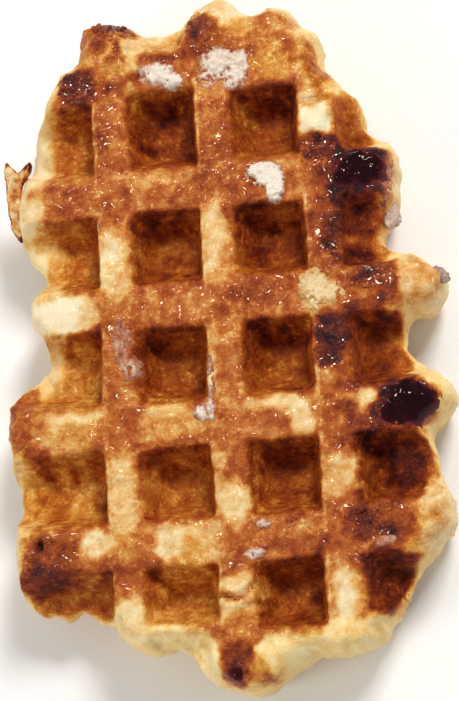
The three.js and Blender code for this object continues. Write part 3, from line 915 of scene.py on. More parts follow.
# %% [markdown]
# ## A lumpy skin on the free rim
# A height can only move a point up or down, so the rim's upright sides come out too smooth. A
# Displace modifier moves points along their normals, but it would fold the skin over itself in the
# sharp bays between lobes. So every point near the rim moves along a normal that is averaged over
# its neighbourhood, by noise that changes with height too.


# %% Normals averaged over a neighbourhood
def gathered(values, faces, count):
    """At each point the sum of the values of the faces around it."""
    columns = [np.bincount(faces.ravel(), np.repeat(column, 4), count) for column in values.T]
    return np.stack(columns, axis=1)


def soft_normals(points, faces, passes):
    """Across each face's diagonals, summed at its points and made unit, then averaged over the
    faces around each point, pass by pass. In a sharp fold the normals cancel and the average is
    short, so points there hardly move and the skin doesn't cross itself."""
    corner = points[faces]
    across = np.cross(corner[:, 2] - corner[:, 0], corner[:, 3] - corner[:, 1])
    normal = gathered(across, faces, len(points))
    normal = normal / np.maximum(np.linalg.norm(normal, axis=1), 1e-9)[:, None]
    around = gathered(np.ones((len(faces), 1)), faces, len(points))
    for _ in range(passes):
        normal = gathered(normal[faces].mean(axis=1), faces, len(points)) / around
    return normal * np.linalg.norm(normal, axis=1)[:, None] ** 2


# %% Points near the rim move along their normals
SKIN_PASSES = 8
x, y, z = waffle_points.T
tilt_x = x + 0.8 * z
tilt_y = y - 0.6 * z
swell = 0.75 * rough(tilt_x, tilt_y, 4.6, 171) + 0.35 * rough(tilt_x, tilt_y, 1.7, 173, 2)
near_rim = step(6.0, 2.5, depth_inside(x, y) + 0.01) * step(0.3, 2.5, z)
swell = near_rim * (swell - 0.25)
normals = soft_normals(waffle_points, waffle_faces, SKIN_PASSES)
waffle_points = waffle_points + normals * swell[:, None]
waffle_points[:, 2] = np.maximum(waffle_points[:, 2], 0)
print(f"the rim's skin moved by {swell.min():.2f} to {swell.max():.2f} mm")

# %% [markdown]
# ## Node materials
# A finish is a small network of nodes that ends in the Principled shader. It could be wired by hand
# in the shader editor. Written as functions, each kind of node takes one line, and all finishes read
# alike.


# %% Node helpers
def new_material(name):
    """A node material with its Principled shader."""
    material = bpy.data.materials.new(name)
    material.use_nodes = True
    return material, material.node_tree, material.node_tree.nodes["Principled BSDF"]


def put(tree, socket, value):
    """A number goes on the socket, another node's output is linked to it."""
    if isinstance(value, (int, float)):
        socket.default_value = value
    else:
        tree.links.new(value, socket)


def maths(tree, kind, a, b=0.0, clamp=False):
    """A Math node on two values."""
    node = tree.nodes.new("ShaderNodeMath")
    node.operation = kind
    node.use_clamp = clamp
    put(tree, node.inputs[0], a)
    put(tree, node.inputs[1], b)
    return node.outputs[0]


def attribute(tree, name):
    """The value that the mesh holds under a name."""
    node = tree.nodes.new("ShaderNodeAttribute")
    node.attribute_name = name
    return node.outputs["Fac"]


def object_place(tree):
    """Coordinates in metres, fixed to the piece."""
    return tree.nodes.new("ShaderNodeTexCoord").outputs["Object"]


def cells(tree, scale):
    """The distance to the nearest point of a random scatter, its scale in points per metre."""
    node = tree.nodes.new("ShaderNodeTexVoronoi")
    node.inputs["Scale"].default_value = scale
    tree.links.new(object_place(tree), node.inputs["Vector"])
    return node.outputs["Distance"]


# %% Colours and bumps
def ramp(tree, value, stops):
    """A colour ramp from a list of places and colours."""
    node = tree.nodes.new("ShaderNodeValToRGB")
    tree.links.new(value, node.inputs["Fac"])
    while len(node.color_ramp.elements) < len(stops):
        node.color_ramp.elements.new(1.0)
    for element, (place, colour) in zip(node.color_ramp.elements, stops):
        element.position = place
        element.color = (*colour, 1.0)
    return node.outputs["Color"]


def mix_colour(tree, share, a, b):
    """One colour passing into another as the share goes from 0 to 1."""
    node = tree.nodes.new("ShaderNodeMix")
    node.data_type = "RGBA"
    put(tree, node.inputs["Factor"], share)
    tree.links.new(a, node.inputs["A"])
    tree.links.new(b, node.inputs["B"])
    return node.outputs["Result"]


def bumps(tree, shader, height, strength, distance):
    """Fine relief that only turns the light: the height in the given distance of metres."""
    node = tree.nodes.new("ShaderNodeBump")
    node.inputs["Strength"].default_value = strength
    node.inputs["Distance"].default_value = distance
    tree.links.new(height, node.inputs["Height"])
    tree.links.new(node.outputs["Normal"], shader.inputs["Normal"])


# %% [markdown]
# ## Grain, for all finishes
# Dough, sugar and caramel all have a fine grain, each of its own size and strength. The same few
# nodes could be put into each material. A node group is built once instead, with named inputs, and
# each material sets them in its own way.


# %% The grain group
def grain_group():
    """Noise on the given coordinates: once from 0 to 1, and once less a half, times the amount."""
    group = bpy.data.node_groups.new("grain", "ShaderNodeTree")
    group.interface.new_socket("Coordinates", in_out="INPUT", socket_type="NodeSocketVector")
    for name in ("Scale", "Detail", "Roughness", "Amount"):
        group.interface.new_socket(name, in_out="INPUT", socket_type="NodeSocketFloat")
    for name in ("Noise", "Grain"):
        group.interface.new_socket(name, in_out="OUTPUT", socket_type="NodeSocketFloat")
    given = group.nodes.new("NodeGroupInput").outputs
    result = group.nodes.new("NodeGroupOutput").inputs
    texture = group.nodes.new("ShaderNodeTexNoise")
    group.links.new(given["Coordinates"], texture.inputs["Vector"])
    for name in ("Scale", "Detail", "Roughness"):
        group.links.new(given[name], texture.inputs[name])
    noise_value = texture.outputs["Fac"]
    centred = maths(group, "SUBTRACT", noise_value, 0.5)
    group.links.new(noise_value, result["Noise"])
    group.links.new(maths(group, "MULTIPLY", centred, given["Amount"]), result["Grain"])
    return group


GRAIN = grain_group()


def grain(tree, scale, detail, roughness=0.6, amount=None):
    """The grain group on object coordinates, its scale in waves per metre: from 0 to 1, or where an
    amount is given, that amount wide with its middle at 0."""
    node = tree.nodes.new("ShaderNodeGroup")
    node.node_tree = GRAIN
    tree.links.new(object_place(tree), node.inputs["Coordinates"])
    values = {"Scale": scale, "Detail": detail, "Roughness": roughness, "Amount": amount or 1.0}
    for name, value in values.items():
        node.inputs[name].default_value = value
    return node.outputs["Noise" if amount is None else "Grain"]


grain_inputs = [item.name for item in GRAIN.interface.items_tree if item.in_out == "INPUT"]
print("the grain group takes", grain_inputs)

# %% [markdown]
# ## The baked crust's finish
# Baked dough passes from cream through gold to burnt sugar. Two ramps hold these colours: a dry one
# for crests and an amber one for walls, for butter and for painted shade. One colour mixed with brown
# would miss the red and orange tones between. The brown attribute says where on the ramps a spot
# lies, the amber attribute mixes them, and grain is added first, so that the colour breaks up into
# the speckles of a real crust. Gloss comes from a thin coat, as melted sugar lies on the dough.

# %% Colours of baked dough
DRY_COLOURS = [
    (0.00, (0.88, 0.76, 0.50)),
    (0.13, (0.77, 0.53, 0.24)),
    (0.28, (0.67, 0.31, 0.085)),
    (0.44, (0.51, 0.140, 0.027)),
    (0.58, (0.37, 0.070, 0.013)),
    (0.74, (0.19, 0.026, 0.007)),
    (0.88, (0.078, 0.010, 0.009)),
    (1.00, (0.018, 0.004, 0.006)),
]
# Amber colours for walls and floors: butter, and painted shade in the pockets
AMBER_COLOURS = [
    (0.00, (0.95, 0.75, 0.36)),
    (0.13, (0.88, 0.56, 0.17)),
    (0.28, (0.68, 0.30, 0.045)),
    (0.44, (0.47, 0.125, 0.014)),
    (0.58, (0.32, 0.058, 0.007)),
    (0.74, (0.16, 0.020, 0.004)),
    (0.88, (0.055, 0.007, 0.003)),
    (1.00, (0.012, 0.004, 0.004)),
]
print(f"two ramps of {len(DRY_COLOURS)} and {len(AMBER_COLOURS)} colours")

# %% The baked crust
crust, tree, shader = new_material("baked_crust")
fine = grain(tree, 1300.0, 4.0, 0.65, amount=0.40)
broad = grain(tree, 380.0, 4.0, amount=0.62)
flecks = maths(tree, "SUBTRACT", grain(tree, 720.0, 2.0), 0.56, True)
uneven = maths(tree, "SUBTRACT", maths(tree, "ADD", fine, broad), flecks)
strength = maths(tree, "ADD", maths(tree, "MULTIPLY", attribute(tree, "brown"), 2.4), 0.16, True)
brown = maths(tree, "ADD", attribute(tree, "brown"), maths(tree, "MULTIPLY", uneven, strength))
dry = ramp(tree, brown, DRY_COLOURS)
# the amber ramp: butter, and painted shade on walls and floors
butter_and_shade = ramp(tree, brown, AMBER_COLOURS)
colour = mix_colour(tree, attribute(tree, "amber"), dry, butter_and_shade)
tree.links.new(colour, shader.inputs["Base Color"])
patchy = maths(tree, "MULTIPLY", grain(tree, 520.0, 3.0), 1.9)
gloss = maths(tree, "MULTIPLY", attribute(tree, "gloss"), patchy, True)
smoother = maths(tree, "MULTIPLY", gloss, 0.2)
put(tree, shader.inputs["Roughness"], maths(tree, "SUBTRACT", 0.62, smoother))
put(tree, shader.inputs["Coat Weight"], maths(tree, "MULTIPLY", gloss, 0.5))
shader.inputs["Specular IOR Level"].default_value = 0.12
shader.inputs["Coat Roughness"].default_value = 0.09
baked = maths(tree, "ADD", maths(tree, "MULTIPLY", attribute(tree, "brown"), 1.5), 0.15, True)
relief = maths(tree, "MULTIPLY", grain(tree, 900.0, 5.0, 0.65), baked)
boiled = maths(tree, "MULTIPLY", maths(tree, "MULTIPLY", cells(tree, 1600.0), gloss), 0.7)
bumps(tree, shader, maths(tree, "SUBTRACT", relief, boiled), strength=0.8, distance=0.0008)

claim(make_mesh("waffle_crust", waffle_points, waffle_faces, waffle_values), crust)

# %% [markdown]
# ## A burnt flake
# On the left a thin flake of dough was squeezed out between the plates and burnt. A plane with a
# Solidify modifier would be as thick at its edge as in its middle. So it is made like the waffle: a
# trimmed grid with two faces that meet at its ragged outline.

# %% The flake's outline and body
FLAKE = np.array(
    [
        (-46.2, 26.4), (-48.0, 28.6), (-49.2, 31.0), (-49.8, 34.0), (-50.0, 38.0), (-50.2, 42.0),
        (-50.2, 44.8), (-49.2, 46.8), (-47.6, 45.6), (-46.0, 43.6), (-44.2, 44.8), (-42.4, 44.6),
        (-43.0, 42.4), (-44.6, 40.6), (-45.4, 38.0), (-45.4, 35.0), (-45.6, 32.0), (-45.4, 29.2),
    ]
)
FLAKE_PER_SPAN = 8
FLAKE_STEP = 0.22
FLAKE_THICK = 1.3
FLAKE_Z = 18.8

flake_curve = ragged(closed_curve(FLAKE, FLAKE_PER_SPAN))
flake_x, flake_y = np.meshgrid(np.arange(-51.6, -41.4, FLAKE_STEP), np.arange(25.4, 48.4, FLAKE_STEP))
flake_in = depth_inside(flake_x, flake_y, flake_curve)
flake_kept = trimmed(flake_in > 0)
_, flake_edge = corner_use(flake_kept)
thick = FLAKE_THICK * round_edge(flake_in / 1.4)
bend = FLAKE_Z + 0.9 * rough(flake_x, flake_y, 3.2, 901) + 0.08 * (flake_y - 36) + 0.5 * (flake_x + 48)
flake_up = np.where(flake_edge, bend, bend + thick + 0.5 * thick * rough(flake_x, flake_y, 1.2, 903))
flake_down = np.where(flake_edge, bend, bend - 1.6 * thick)
print(f"{flake_kept.sum()} squares in the flake")

# %% The flake is burnt at its far end and along its edge
burnt = step(43.4, 45.4, flake_y + 2.4 * rough(flake_x, flake_y, 2.0, 905))
burnt = np.maximum(burnt, step(0.7, 0.1, flake_in + 0.5 * noise(flake_x, flake_y, 1.6, 907)))
flake_brown = 0.22 + 0.60 * burnt + 0.30 * rough(flake_x, flake_y, 1.5, 909)
flake_pairs = {
    "brown": (flake_brown, flake_brown),
    "amber": (0.3 * burnt, burnt),
    "gloss": (0.4 * burnt, burnt),
}
flake = shell(flake_x, flake_y, flake_up, flake_down, flake_kept, flake_pairs)
claim(make_mesh("burnt_flake", *flake), crust)

# %% [markdown]
# ## Lumps and bubbles
# Whole lumps of pearl sugar stick out of the rim, and syrup boils up in small bubbles. An icosphere
# would do for one of them, but here hundreds are made at once. So a ball is a grid of longitudes and
# latitudes, whose radius is swelled by waves in random directions, or point by point at random.


# %% A ball's points and faces
def ball_faces(rounds, rings):
    """Squares between rings of points, and a fan of triangles around each pole."""
    turn = np.arange(rounds)
    following = (turn + 1) % rounds
    row = np.arange(rings - 1)[:, None] * rounds
    belt = np.stack([row + turn, row + following, row + rounds + following, row + rounds + turn], axis=-1)
    south = np.full(rounds, rings * rounds)
    north = south + 1
    top = (rings - 1) * rounds
    low = np.stack([south, following, turn, turn], axis=-1)
    high = np.stack([north, top + turn, top + following, top + following], axis=-1)
    return np.concatenate([belt.reshape(-1, 4), low, high])


def ball_directions(rounds, rings):
    """Unit vectors by longitude and latitude, rings from low to high, then the two poles."""
    latitude = (np.arange(rings) + 0.5) / rings * np.pi - np.pi / 2
    longitude = np.arange(rounds) / rounds * 2 * np.pi
    lat, lon = np.meshgrid(latitude, longitude, indexing="ij")
    way = np.stack([np.cos(lat) * np.cos(lon), np.cos(lat) * np.sin(lon), np.sin(lat)], axis=-1)
    return np.concatenate([way.reshape(-1, 3), [[0, 0, -1.0]], [[0, 0, 1.0]]])


BALL = (10, 5)
LUMP = (64, 32)
print(f"a small ball has {len(ball_faces(*BALL))} faces, a lump {len(ball_faces(*LUMP))}")

# %% Lumps, and many small balls at once
JAG = 0.12


def waves(way, count, pace, rng):
    """The mean of sine waves that run in random directions, from -1 to 1."""
    lines = rng.normal(size=(count, 3))
    lines = lines / np.linalg.norm(lines, axis=1)[:, None] * pace
    return np.sin(way @ lines.T + rng.uniform(0, 6.3, count)).mean(axis=1)


def lumpy_ball(middle, half, rng):
    """A ball squashed to three half sizes, its radius swelled by slow and quick waves."""
    way = ball_directions(*LUMP)
    radius = 1 + 0.45 * waves(way, 7, 3.5, rng) + 0.25 * waves(way, 12, 16.0, rng)
    return np.array(middle) + way * radius[:, None] * np.array(half), ball_faces(*LUMP)


def scatter_balls(middles, radii, flatness, rng):
    """Many small balls of few faces: one ball's points, turned and sized for each middle, each
    point moved in or out by a random share."""
    way = ball_directions(*BALL)
    turn = rng.uniform(0, 2 * np.pi, len(middles))
    c = np.cos(turn)[:, None]
    s = np.sin(turn)[:, None]
    x = way[:, 0] * c - way[:, 1] * s
    y = way[:, 0] * s + way[:, 1] * c
    z = way[:, 2] * np.ones_like(c) * flatness
    shape = 1 + JAG * rng.uniform(-1, 1, (len(middles), len(way)))
    points = np.stack([x, y, z], axis=-1) * (shape * radii[:, None])[..., None] + middles[:, None]
    faces = ball_faces(*BALL)[None] + (np.arange(len(middles)) * len(way))[:, None, None]
    return points.reshape(-1, 3), faces.reshape(-1, 4)


# %% [markdown]
# ## Sugar fused to the crust
# Most of the sugar melted half and set again on the dough. Grains scattered over it would look
# sprinkled on. So it is a crust of its own: a fine grid that follows the waffle's height, rises over
# it inside a few overlapping spots and dips under it outside them. Where it passes through the
# waffle's surface, a ragged edge comes by itself. Two lumps that stick out of the rim are balls.

# %% Where sugar lies
# Spots by middle x and y, half sizes x and y and height, then steepness, pits and whiteness.
SUGAR_CRUSTS = {
    "sugar_far_left": (
        [(-11.0, 61.6, 3.8, 3.0, 0.8), (-8.0, 59.8, 2.8, 2.0, 0.7), (-13.2, 63.0, 2.4, 1.4, 0.5)],
        2.0, 1.0, 0.9,
    ),
    "sugar_far_middle": (
        [(3.8, 62.6, 5.0, 3.8, 0.9), (7.0, 59.6, 3.2, 3.2, 0.8), (0.6, 60.2, 2.6, 2.6, 0.6),
         (8.4, 63.0, 2.8, 2.6, 0.6)],
        1.8, 0.8, 0.75,
    ),
    "sugar_second_rib": (
        [(12.2, 36.4, 3.7, 2.0, 1.1), (13.4, 34.6, 3.2, 2.4, 1.1), (14.8, 32.4, 2.4, 3.2, 1.1)],
        4.5, 0.2, 0.9,
    ),
    "sugar_crossing": ([(-4.6, -18.2, 1.9, 2.0, 0.7), (-2.6, -17.4, 1.2, 2.4, 0.7)], 2.5, 0.5, 0.8),
    "sugar_third_edge": ([(-2.4, -8.4, 0.9, 3.8, 0.3), (-2.2, -13.0, 1.0, 2.6, 0.3)], 1.6, 1.0, 0.6),
    "sugar_glaze": ([(-22.2, -0.6, 2.0, 5.2, 0.2), (-20.2, -6.6, 2.2, 2.6, 0.4)], 1.2, 1.2, 0.50),
    "sugar_right_strip": ([(40.6, 25.2, 1.6, 3.6, 0.5), (40.9, 31.6, 1.1, 3.4, 0.3)], 1.6, 0.9, 0.42),
    "sugar_fifth_rib": ([(7.7, -43.8, 1.8, 1.3, 0.5)], 2.5, 0.5, 0.6),
    "sugar_fifth_rib_near": ([(5.8, -50.2, 2.7, 1.3, 0.6)], 2.0, 0.6, 0.7),
    "sugar_fourth_rib": ([(34.8, -49.2, 1.7, 1.0, 0.3), (33.0, -50.0, 1.5, 0.9, 0.3)], 1.6, 0.8, 0.5),
    "crumb_third_rib": ([(22.4, 7.6, 3.3, 4.6, 0.8), (26.0, 7.0, 3.0, 2.6, 0.4)], 1.8, 0.8, 0.8),
}
print(f"sugar in {len(SUGAR_CRUSTS)} places")


# %% A thing that rises over the crust inside a few spots
def grid_over(spots, margin, spacing):
    """An even grid over all the spots, with a margin round them."""
    low = np.min([(x - a, y - b) for x, y, a, b, _ in spots], axis=0) - margin
    high = np.max([(x + a, y + b) for x, y, a, b, _ in spots], axis=0) + margin
    return np.meshgrid(np.arange(low[0], high[0], spacing), np.arange(low[1], high[1], spacing))


def rise_over(x, y, spots, steepness, fall, wander, fray):
    """The largest over all spots: inside one, its height times the steepness times the way in from
    its edge, at most its height; outside it, less the fall times the way out. Wander and fray push
    the edge about."""
    rise = np.full(x.shape, -1.0)
    for middle_x, middle_y, half_x, half_y, height in spots:
        out = np.hypot((x - middle_x) / half_x, (y - middle_y) / half_y) + wander + fray
        over = np.where(out < 1, height * np.minimum(steepness * (1 - out), 1), fall * (1 - out))
        rise = np.maximum(rise, over)
    return rise


def smoothed(height, passes):
    """Each height replaced by the mean of itself and its four neighbours, several times over."""
    for _ in range(passes):
        h = np.pad(height, 1, mode="edge")
        height = (h[1:-1, 1:-1] + h[2:, 1:-1] + h[:-2, 1:-1] + h[1:-1, 2:] + h[1:-1, :-2]) / 5
    return height


# %% A crust of sugar
SUGAR_STEP = 0.17
SUGAR_MARGIN = 1.2
SUGAR_THICK = 0.9
SUGAR_FALL = 1.6


def sugar_crust(spots, steepness, pits, whiteness, seed):
    """Crust height plus the rise over the spots, plus crystal noise, less pits. How white a spot is
    follows its height over the crust."""
    x, y = grid_over(spots, SUGAR_MARGIN, SUGAR_STEP)
    wander = 0.30 * rough(x, y, 1.9, seed)
    fray = 0.12 * noise(x, y, 0.6, seed + 1)
    rise = rise_over(x, y, spots, steepness, SUGAR_FALL, wander, fray)
    crystals = 0.22 * np.abs(noise(x, y, 0.75, seed + 2)) + 0.14 * np.abs(noise(x, y, 0.4, seed + 3))
    deep = pits * 1.1 * step(0.25, 0.85, rough(x, y, 1.3, seed + 4, 2) + 0.5 * noise(x, y, 2.8, seed + 5))
    rise = rise + crystals - deep
    under = crust_at(x, y) - SUGAR_THICK
    white = whiteness * (0.28 + 0.72 * step(-0.1, 0.8, rise + 0.5 * rough(x, y, 1.6, seed + 6)))
    wanted = (depth_inside(x, y) > 1.0) & (smoothed(rise, 8) > -SUGAR_THICK)
    return sheet(x, y, crust_at(x, y) + rise, under, wanted, {"white": white})


bodies = {name: sugar_crust(*kind, 500 + 10 * k) for k, (name, kind) in enumerate(SUGAR_CRUSTS.items())}
print(f"{sum(len(points) for points, _, _ in bodies.values())} points of sugar")

# %% [markdown]
# ## Sugar's finish
# A thick lump of sugar is white and lets some light in, a thin one shows the brown dough through it,
# and molten sugar has gone red-brown. Mixing in transparency would show that as well, but it makes
# noise in a render and can't be baked to a colour. So a ramp runs from melted to thin to thick by
# the white attribute, and a little subsurface scattering softens the light.


# %% Sugar's finish
def sugar_finish(name, melted, thin, thick, roughness):
    """A material from the colour of melted sugar, by thin sugar over crust, to that of a thick lump."""
    material, tree, shader = new_material(name)
    white = maths(tree, "ADD", attribute(tree, "white"), grain(tree, 900.0, 4.0, amount=0.9))
    tone = ramp(tree, white, [(0.0, melted), (0.30, thin), (0.85, thick)])
    tree.links.new(tone, shader.inputs["Base Color"])
    shader.inputs["Roughness"].default_value = roughness
    shader.inputs["Specular IOR Level"].default_value = 0.3
    shader.inputs["Subsurface Weight"].default_value = 0.3
    shader.inputs["Subsurface Radius"].default_value = (1.0, 0.8, 0.6)
    shader.inputs["Subsurface Scale"].default_value = 0.0008
    bumps(tree, shader, grain(tree, 2600.0, 4.0, 0.7), strength=0.7, distance=0.0003)
    return material


sugar = sugar_finish("pearl_sugar", (0.22, 0.036, 0.012), (0.50, 0.21, 0.11), (0.86, 0.77, 0.65), 0.35)
greyed = sugar_finish("greyed_sugar", (0.15, 0.075, 0.050), (0.36, 0.22, 0.17), (0.76, 0.60, 0.51), 0.35)
crumb = sugar_finish("pale_crumb", (0.40, 0.14, 0.03), (0.62, 0.35, 0.11), (0.82, 0.65, 0.36), 0.5)
for name, body in bodies.items():
    claim(make_mesh(name, *body), crumb if name.startswith("crumb") else sugar)


# %% Two lumps that stick out of the rim: whiteness, middle, half sizes
SUGAR_LUMPS = {
    "sugar_right_knob": (0.20, (49.8, 9.5, 19.4), (2.2, 2.4, 2.2)),
    "sugar_right_rim": (0.42, (39.8, 24.8, 16.4), (1.9, 2.9, 2.3)),
}
for seed, (name, (whiteness, middle, half)) in enumerate(SUGAR_LUMPS.items()):
    rng = np.random.default_rng(640 + seed)
    points, faces = lumpy_ball(middle, half, rng)
    white = whiteness + 0.3 * rng.uniform(0, 1, len(points))
    claim(make_mesh(name, points, faces, {"white": white}), greyed)


# %% [markdown]
# ## Caramel
# Where a lump of sugar lay against the iron it melted, boiled and set to a dark glassy pool. A fluid
# simulation would fill a hollow level, but this syrup is thick and hangs on slopes. So a pool is made
# as the sugar crusts are, over a smoothed copy of the crust's height, and slow ripples break its
# reflections. A few bubbles froze in it as flat domes.

# %% Where caramel lies
POOLS = [
    [(34.2, 34.6, 5.2, 4.4, 0.5), (31.0, 32.8, 3.0, 2.6, 0.4), (36.8, 35.2, 2.8, 3.2, 0.4)],
    [(41.8, -18.8, 5.4, 5.0, 0.8), (38.4, -21.0, 3.6, 3.2, 0.5)],
    [(0.2, -75.8, 1.8, 1.5, 0.22)],
]
print(f"{len(POOLS)} pools of caramel")

# %% Pools
POOL_STEP = 0.25
POOL_MARGIN = 2
POOL_THICK = 1.2
POOL_STEEPNESS = 2
POOL_PASSES = 30


def caramel_pool(spots, seed):
    """The smoothed crust height, kept within 0.15 mm under and 0.5 mm over the crust, plus the rise
    over the spots, plus slow ripples."""
    x, y = grid_over(spots, POOL_MARGIN, POOL_STEP)
    wander = 0.38 * rough(x, y, 3.6, seed)
    fray = 0.08 * noise(x, y, 0.8, seed + 1)
    rise = rise_over(x, y, spots, POOL_STEEPNESS, POOL_STEEPNESS, wander, fray)
    crust_here = crust_at(x, y)
    level = np.clip(smoothed(crust_here, POOL_PASSES), crust_here - 0.15, crust_here + 0.5)
    top = level + rise + 0.16 * rough(x, y, 3.2, seed + 2) * step(0, 0.3, rise)
    wanted = (depth_inside(x, y) > 1.5) & (rise > -1.0)
    return sheet(x, y, top, crust_here - POOL_THICK, wanted, {"deep": step(-0.1, 0.45, rise)})


def joined(parts):
    """Several bodies' points and faces as one list, the faces counted on."""
    counts = np.cumsum([0] + [len(points) for points, _ in parts])
    faces = [faces + count for (_, faces), count in zip(parts, counts)]
    return np.concatenate([points for points, _ in parts]), np.concatenate(faces)


pools = [caramel_pool(spots, 820 + 10 * k) for k, spots in enumerate(POOLS)]
pool_points, pool_faces = joined([pool[:2] for pool in pools])
pool_values = {"deep": np.concatenate([pool[2]["deep"] for pool in pools])}
print(f"{len(pool_faces)} faces of caramel")

# %% Bubbles, four in each spot of a pool
BUBBLES_EACH = 4


def spots_in(x, y, half_x, half_y, count, rng):
    """Random spots in an ellipse, thicker in its middle."""
    around = rng.uniform(0, 2 * np.pi, count)
    out = rng.uniform(0, 1, count) ** 0.6
    return x + half_x * out * np.cos(around), y + half_y * out * np.sin(around)


rng = np.random.default_rng(808)
pool_spots = [spot for spots in POOLS for spot in spots]
bubble_spots = [spots_in(x, y, 0.9 * a, 0.9 * b, BUBBLES_EACH, rng) for x, y, a, b, _ in pool_spots]
bubble_x, bubble_y = np.concatenate(bubble_spots, axis=1)
bubble_radii = rng.uniform(0.4, 0.8, len(bubble_x)) ** 2
bubble_z = crust_at(bubble_x, bubble_y) + 0.35
bubble_middles = np.stack([bubble_x, bubble_y, bubble_z], axis=1)
bubbles = scatter_balls(bubble_middles, bubble_radii, 0.6, rng)
print(f"{len(bubble_x)} bubbles")

# %% [markdown]
# ## Blisters
# Syrup also boiled up through the crests in beads about a millimetre across. Blender's particles or
# Geometry Nodes could strew them, but each bead has to have the crust's own colour under it. So they
# are flat balls at random spots in listed ellipses, and each takes its browning from the crust
# where it sits. All of them are glossy.

# %% Where blisters lie: middle x, y, half sizes x, y, how many
BLISTERS = [
    (-0.2, 71.4, 3.4, 5.0, 50), (-21.6, 73.6, 5.0, 2.4, 40), (-20.6, 73.0, 3.0, 2.0, 10),
    (-22.4, 67.6, 4.4, 5.0, 22), (25.2, 40.6, 4.0, 2.6, 60), (25.2, 20.0, 3.2, 9.0, 40),
    (25.2, -3.6, 3.4, 6.4, 36), (34.8, 9.8, 5.4, 2.6, 40), (33.4, -44.8, 8.0, 4.6, 110),
    (14.6, -47.4, 7.0, 2.6, 30), (-41.0, -49.2, 6.0, 3.0, 34), (-30.0, 60.4, 4.4, 4.6, 70),
    (36.6, -22.0, 5.0, 3.6, 40), (30.0, 36.0, 5.0, 6.0, 22), (9.8, 7.4, 7.6, 3.0, 24),
    (-24.2, 50.0, 2.4, 7.0, 18), (0.8, -74.0, 3.0, 4.4, 24), (15.4, -43.8, 4.4, 1.2, 18),
    (-42.0, -22.8, 5.0, 1.6, 16), (-40.4, -50.2, 7.0, 0.8, 26),
]
print(f"{sum(spot[-1] for spot in BLISTERS)} blisters")

# %% Blisters
blister_spots = [spots_in(*spot, rng) for spot in BLISTERS]
spot_x, spot_y = np.concatenate(blister_spots, axis=1)
spot_z = crust_at(spot_x, spot_y)
blister_radii = rng.uniform(0.5, 1.0, len(spot_x)) ** 2 * 0.75
blister_middles = np.stack([spot_x, spot_y, spot_z - 0.1 * blister_radii], axis=1)
blisters = scatter_balls(blister_middles, blister_radii, 0.34, rng)
spot_brown, spot_amber, _ = painted(spot_x, spot_y, way_in(spot_x, spot_y))
each = len(blisters[0]) // len(spot_x)
blister_values = {
    "brown": np.repeat(np.clip(spot_brown, 0, 1), each),
    "amber": np.repeat(np.clip(spot_amber, 0, 1), each),
    "gloss": np.full(len(blisters[0]), 3.0),
}
print(f"radii from {blister_radii.min():.2f} to {blister_radii.max():.2f} mm")

# %% [markdown]
# ## Caramel's finish
# Burnt caramel is nearly black where it is deep and red-brown at its thin edge, under a glassy skin.
# Real absorption in a volume would do that, but it is slow to render and the export can't carry it.
# So a ramp over the deep attribute gives the colour, and a coat gives the skin.

# %% Caramel's finish
CARAMEL = [(0.10, (0.10, 0.011, 0.007)), (0.50, (0.045, 0.004, 0.007)), (1.00, (0.010, 0.0008, 0.0024))]
caramel, tree, shader = new_material("burnt_caramel")
deep = maths(tree, "ADD", attribute(tree, "deep"), grain(tree, 420.0, 3.0, amount=0.8))
tree.links.new(ramp(tree, deep, CARAMEL), shader.inputs["Base Color"])
shader.inputs["Roughness"].default_value = 0.30
shader.inputs["Specular IOR Level"].default_value = 0.0
shader.inputs["Coat Weight"].default_value = 0.27
shader.inputs["Coat Roughness"].default_value = 0.05
bumps(tree, shader, grain(tree, 460.0, 2.0, 0.5), strength=0.35, distance=0.0008)

claim(make_mesh("caramel_pools", pool_points, pool_faces, pool_values), caramel)
claim(make_mesh("caramel_bubbles", *bubbles, {"deep": np.full(len(bubbles[0]), 0.7)}), caramel)
claim(make_mesh("syrup_blisters", *blisters, blister_values), crust)

# %% [markdown]
# ## Floor and light
# A pale floor and one large soft light from the far right, with a dim even sky, show the pockets by
# their shadows. A weaker light from the near left keeps the rim's shaded side bright. One environment
# image could do all of this, but lamps can be set one by one. Both large lamps are left out of
# reflections, or they would lay a grey veil on the brown crust, and three small ones that light
# nothing but reflections give the glints.

# %% Floor
FLOOR = 3.0
floor_mesh = bpy.data.meshes.new("floor")
floor_corners = [(-FLOOR, -FLOOR, 0), (FLOOR, -FLOOR, 0), (FLOOR, FLOOR, 0), (-FLOOR, FLOOR, 0)]
floor_mesh.from_pydata(floor_corners, [], [(0, 1, 2, 3)])
floor = bpy.data.objects.new("floor", floor_mesh)
bpy.context.scene.collection.objects.link(floor)
floor_paint, tree, shader = new_material("pale_floor")
shader.inputs["Base Color"].default_value = (0.93, 0.93, 0.93, 1)
shader.inputs["Roughness"].default_value = 0.8
floor_mesh.materials.append(floor_paint)
floor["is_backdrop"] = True
print(f"a floor of {2 * FLOOR:.0f} by {2 * FLOOR:.0f} m")


# %% Lights
def area_light(name, direction, distance, size, power, tint=(1.0, 1.0, 1.0)):
    """A square light in the given direction from the waffle, turned to face it."""
    data = bpy.data.lights.new(name, "AREA")
    data.size = size
    data.energy = power
    data.color = tint
    lamp = bpy.data.objects.new(name, data)
    way = np.array(direction, float)
    way = way / np.linalg.norm(way)
    lamp.location = way * distance
    lamp.rotation_euler = (math.acos(way[2]), 0, math.atan2(way[1], way[0]) + math.pi / 2)
    bpy.context.scene.collection.objects.link(lamp)
    return lamp


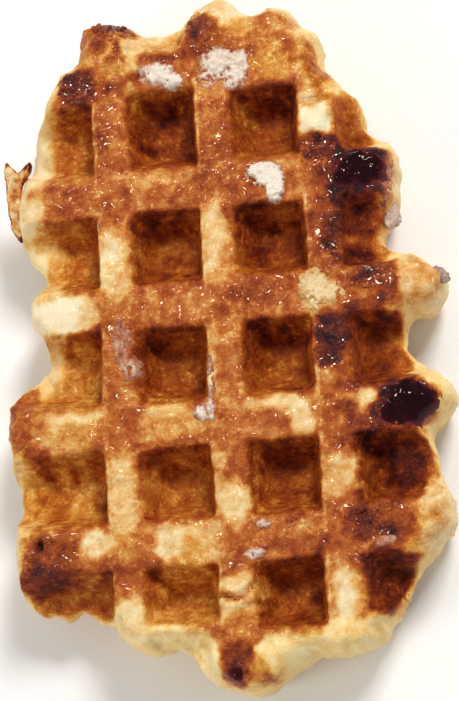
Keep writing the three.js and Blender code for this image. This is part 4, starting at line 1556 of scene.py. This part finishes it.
CREAM = (1.0, 0.96, 0.90)
CANDLE = (1.0, 0.84, 0.60)
key = area_light("key", (0.42, 0.66, 1.0), distance=1.2, size=0.32, power=10.4)
fill = area_light("fill", (-1.0, -0.6, 0.75), distance=1.5, size=0.6, power=6.8, tint=CREAM)
for lamp in (key, fill):
    lamp.visible_glossy = False
for number, direction in enumerate([(0.34, 0.56, 1.0), (0.05, 0.60, 1.0), (-0.34, 0.42, 1.0)]):
    lamp = area_light(f"glint_{number}", direction, distance=1.2, size=0.07, power=3.4, tint=CANDLE)
    lamp.visible_diffuse = False
print("lamps:", [light.name for light in bpy.data.lights])

# %% Sky
world = bpy.data.worlds.new("sky")
world.use_nodes = True
background = world.node_tree.nodes["Background"]
background.inputs["Color"].default_value = (1.0, 0.99, 0.97, 1)
background.inputs["Strength"].default_value = 0.42
bpy.context.scene.world = world
print("the sky's strength:", round(background.inputs["Strength"].default_value, 2))

# %% [markdown]
# ## Camera
# The camera looks down on the waffle from half a metre, leaning a little to the right and to the
# near end, and turned slightly. Its axes could come from a Track To constraint. Here they are worked
# out as three vectors at right angles, which leaves the lean and the roll as plain numbers: back is
# the way from the waffle to the camera, side and rise are square to it, and the roll turns them.

# %% Camera
WIDTH_PX = 459
SENSOR = 36.0
FOCAL_PX = 2309.0
DISTANCE = 515.4
LEAN_RIGHT = 0.1686
LEAN_NEAR = 0.2059
ROLL = -0.054
AIM = np.array([2.45, -4.5, 26.0])

back = np.array([LEAN_RIGHT, -LEAN_NEAR, 1.0])
back = back / np.linalg.norm(back)
side = np.cross([0.0, 1.0, 0.0], back)
side = side / np.linalg.norm(side)
rise = np.cross(back, side)
right = math.cos(ROLL) * side + math.sin(ROLL) * rise
up = -math.sin(ROLL) * side + math.cos(ROLL) * rise
eye = (AIM + back * DISTANCE) * MM

camera_data = bpy.data.cameras.new("camera")
camera_data.sensor_fit = "HORIZONTAL"
camera_data.sensor_width = SENSOR
camera_data.lens = FOCAL_PX * SENSOR / WIDTH_PX
camera_data.clip_start = 0.01
camera = bpy.data.objects.new("camera", camera_data)
camera.matrix_world = Matrix([[*row] for row in zip(right, up, back, eye)] + [[0, 0, 0, 1]])
bpy.context.scene.collection.objects.link(camera)
bpy.context.scene.camera = camera
bpy.context.scene.view_settings.view_transform = "Standard"
print(f"a lens of {camera_data.lens:.0f} mm, {DISTANCE:.0f} mm away")

# %% [markdown]
# ## Finish
# The box of what shows is taken, next to the solid's from the start, because the dressed waffle should
# be no larger than the one that other scenes stack and pack. Both boxes are gathered, and the box of
# what shows is printed.

# %% Gather both boxes and finish
visual_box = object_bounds()
boxes = {"cad": cad_box, "visual": visual_box}
boxes = {key: [[float(v) for v in corner] for corner in box] for key, box in boxes.items()}
print("visual box:", boxes["visual"])
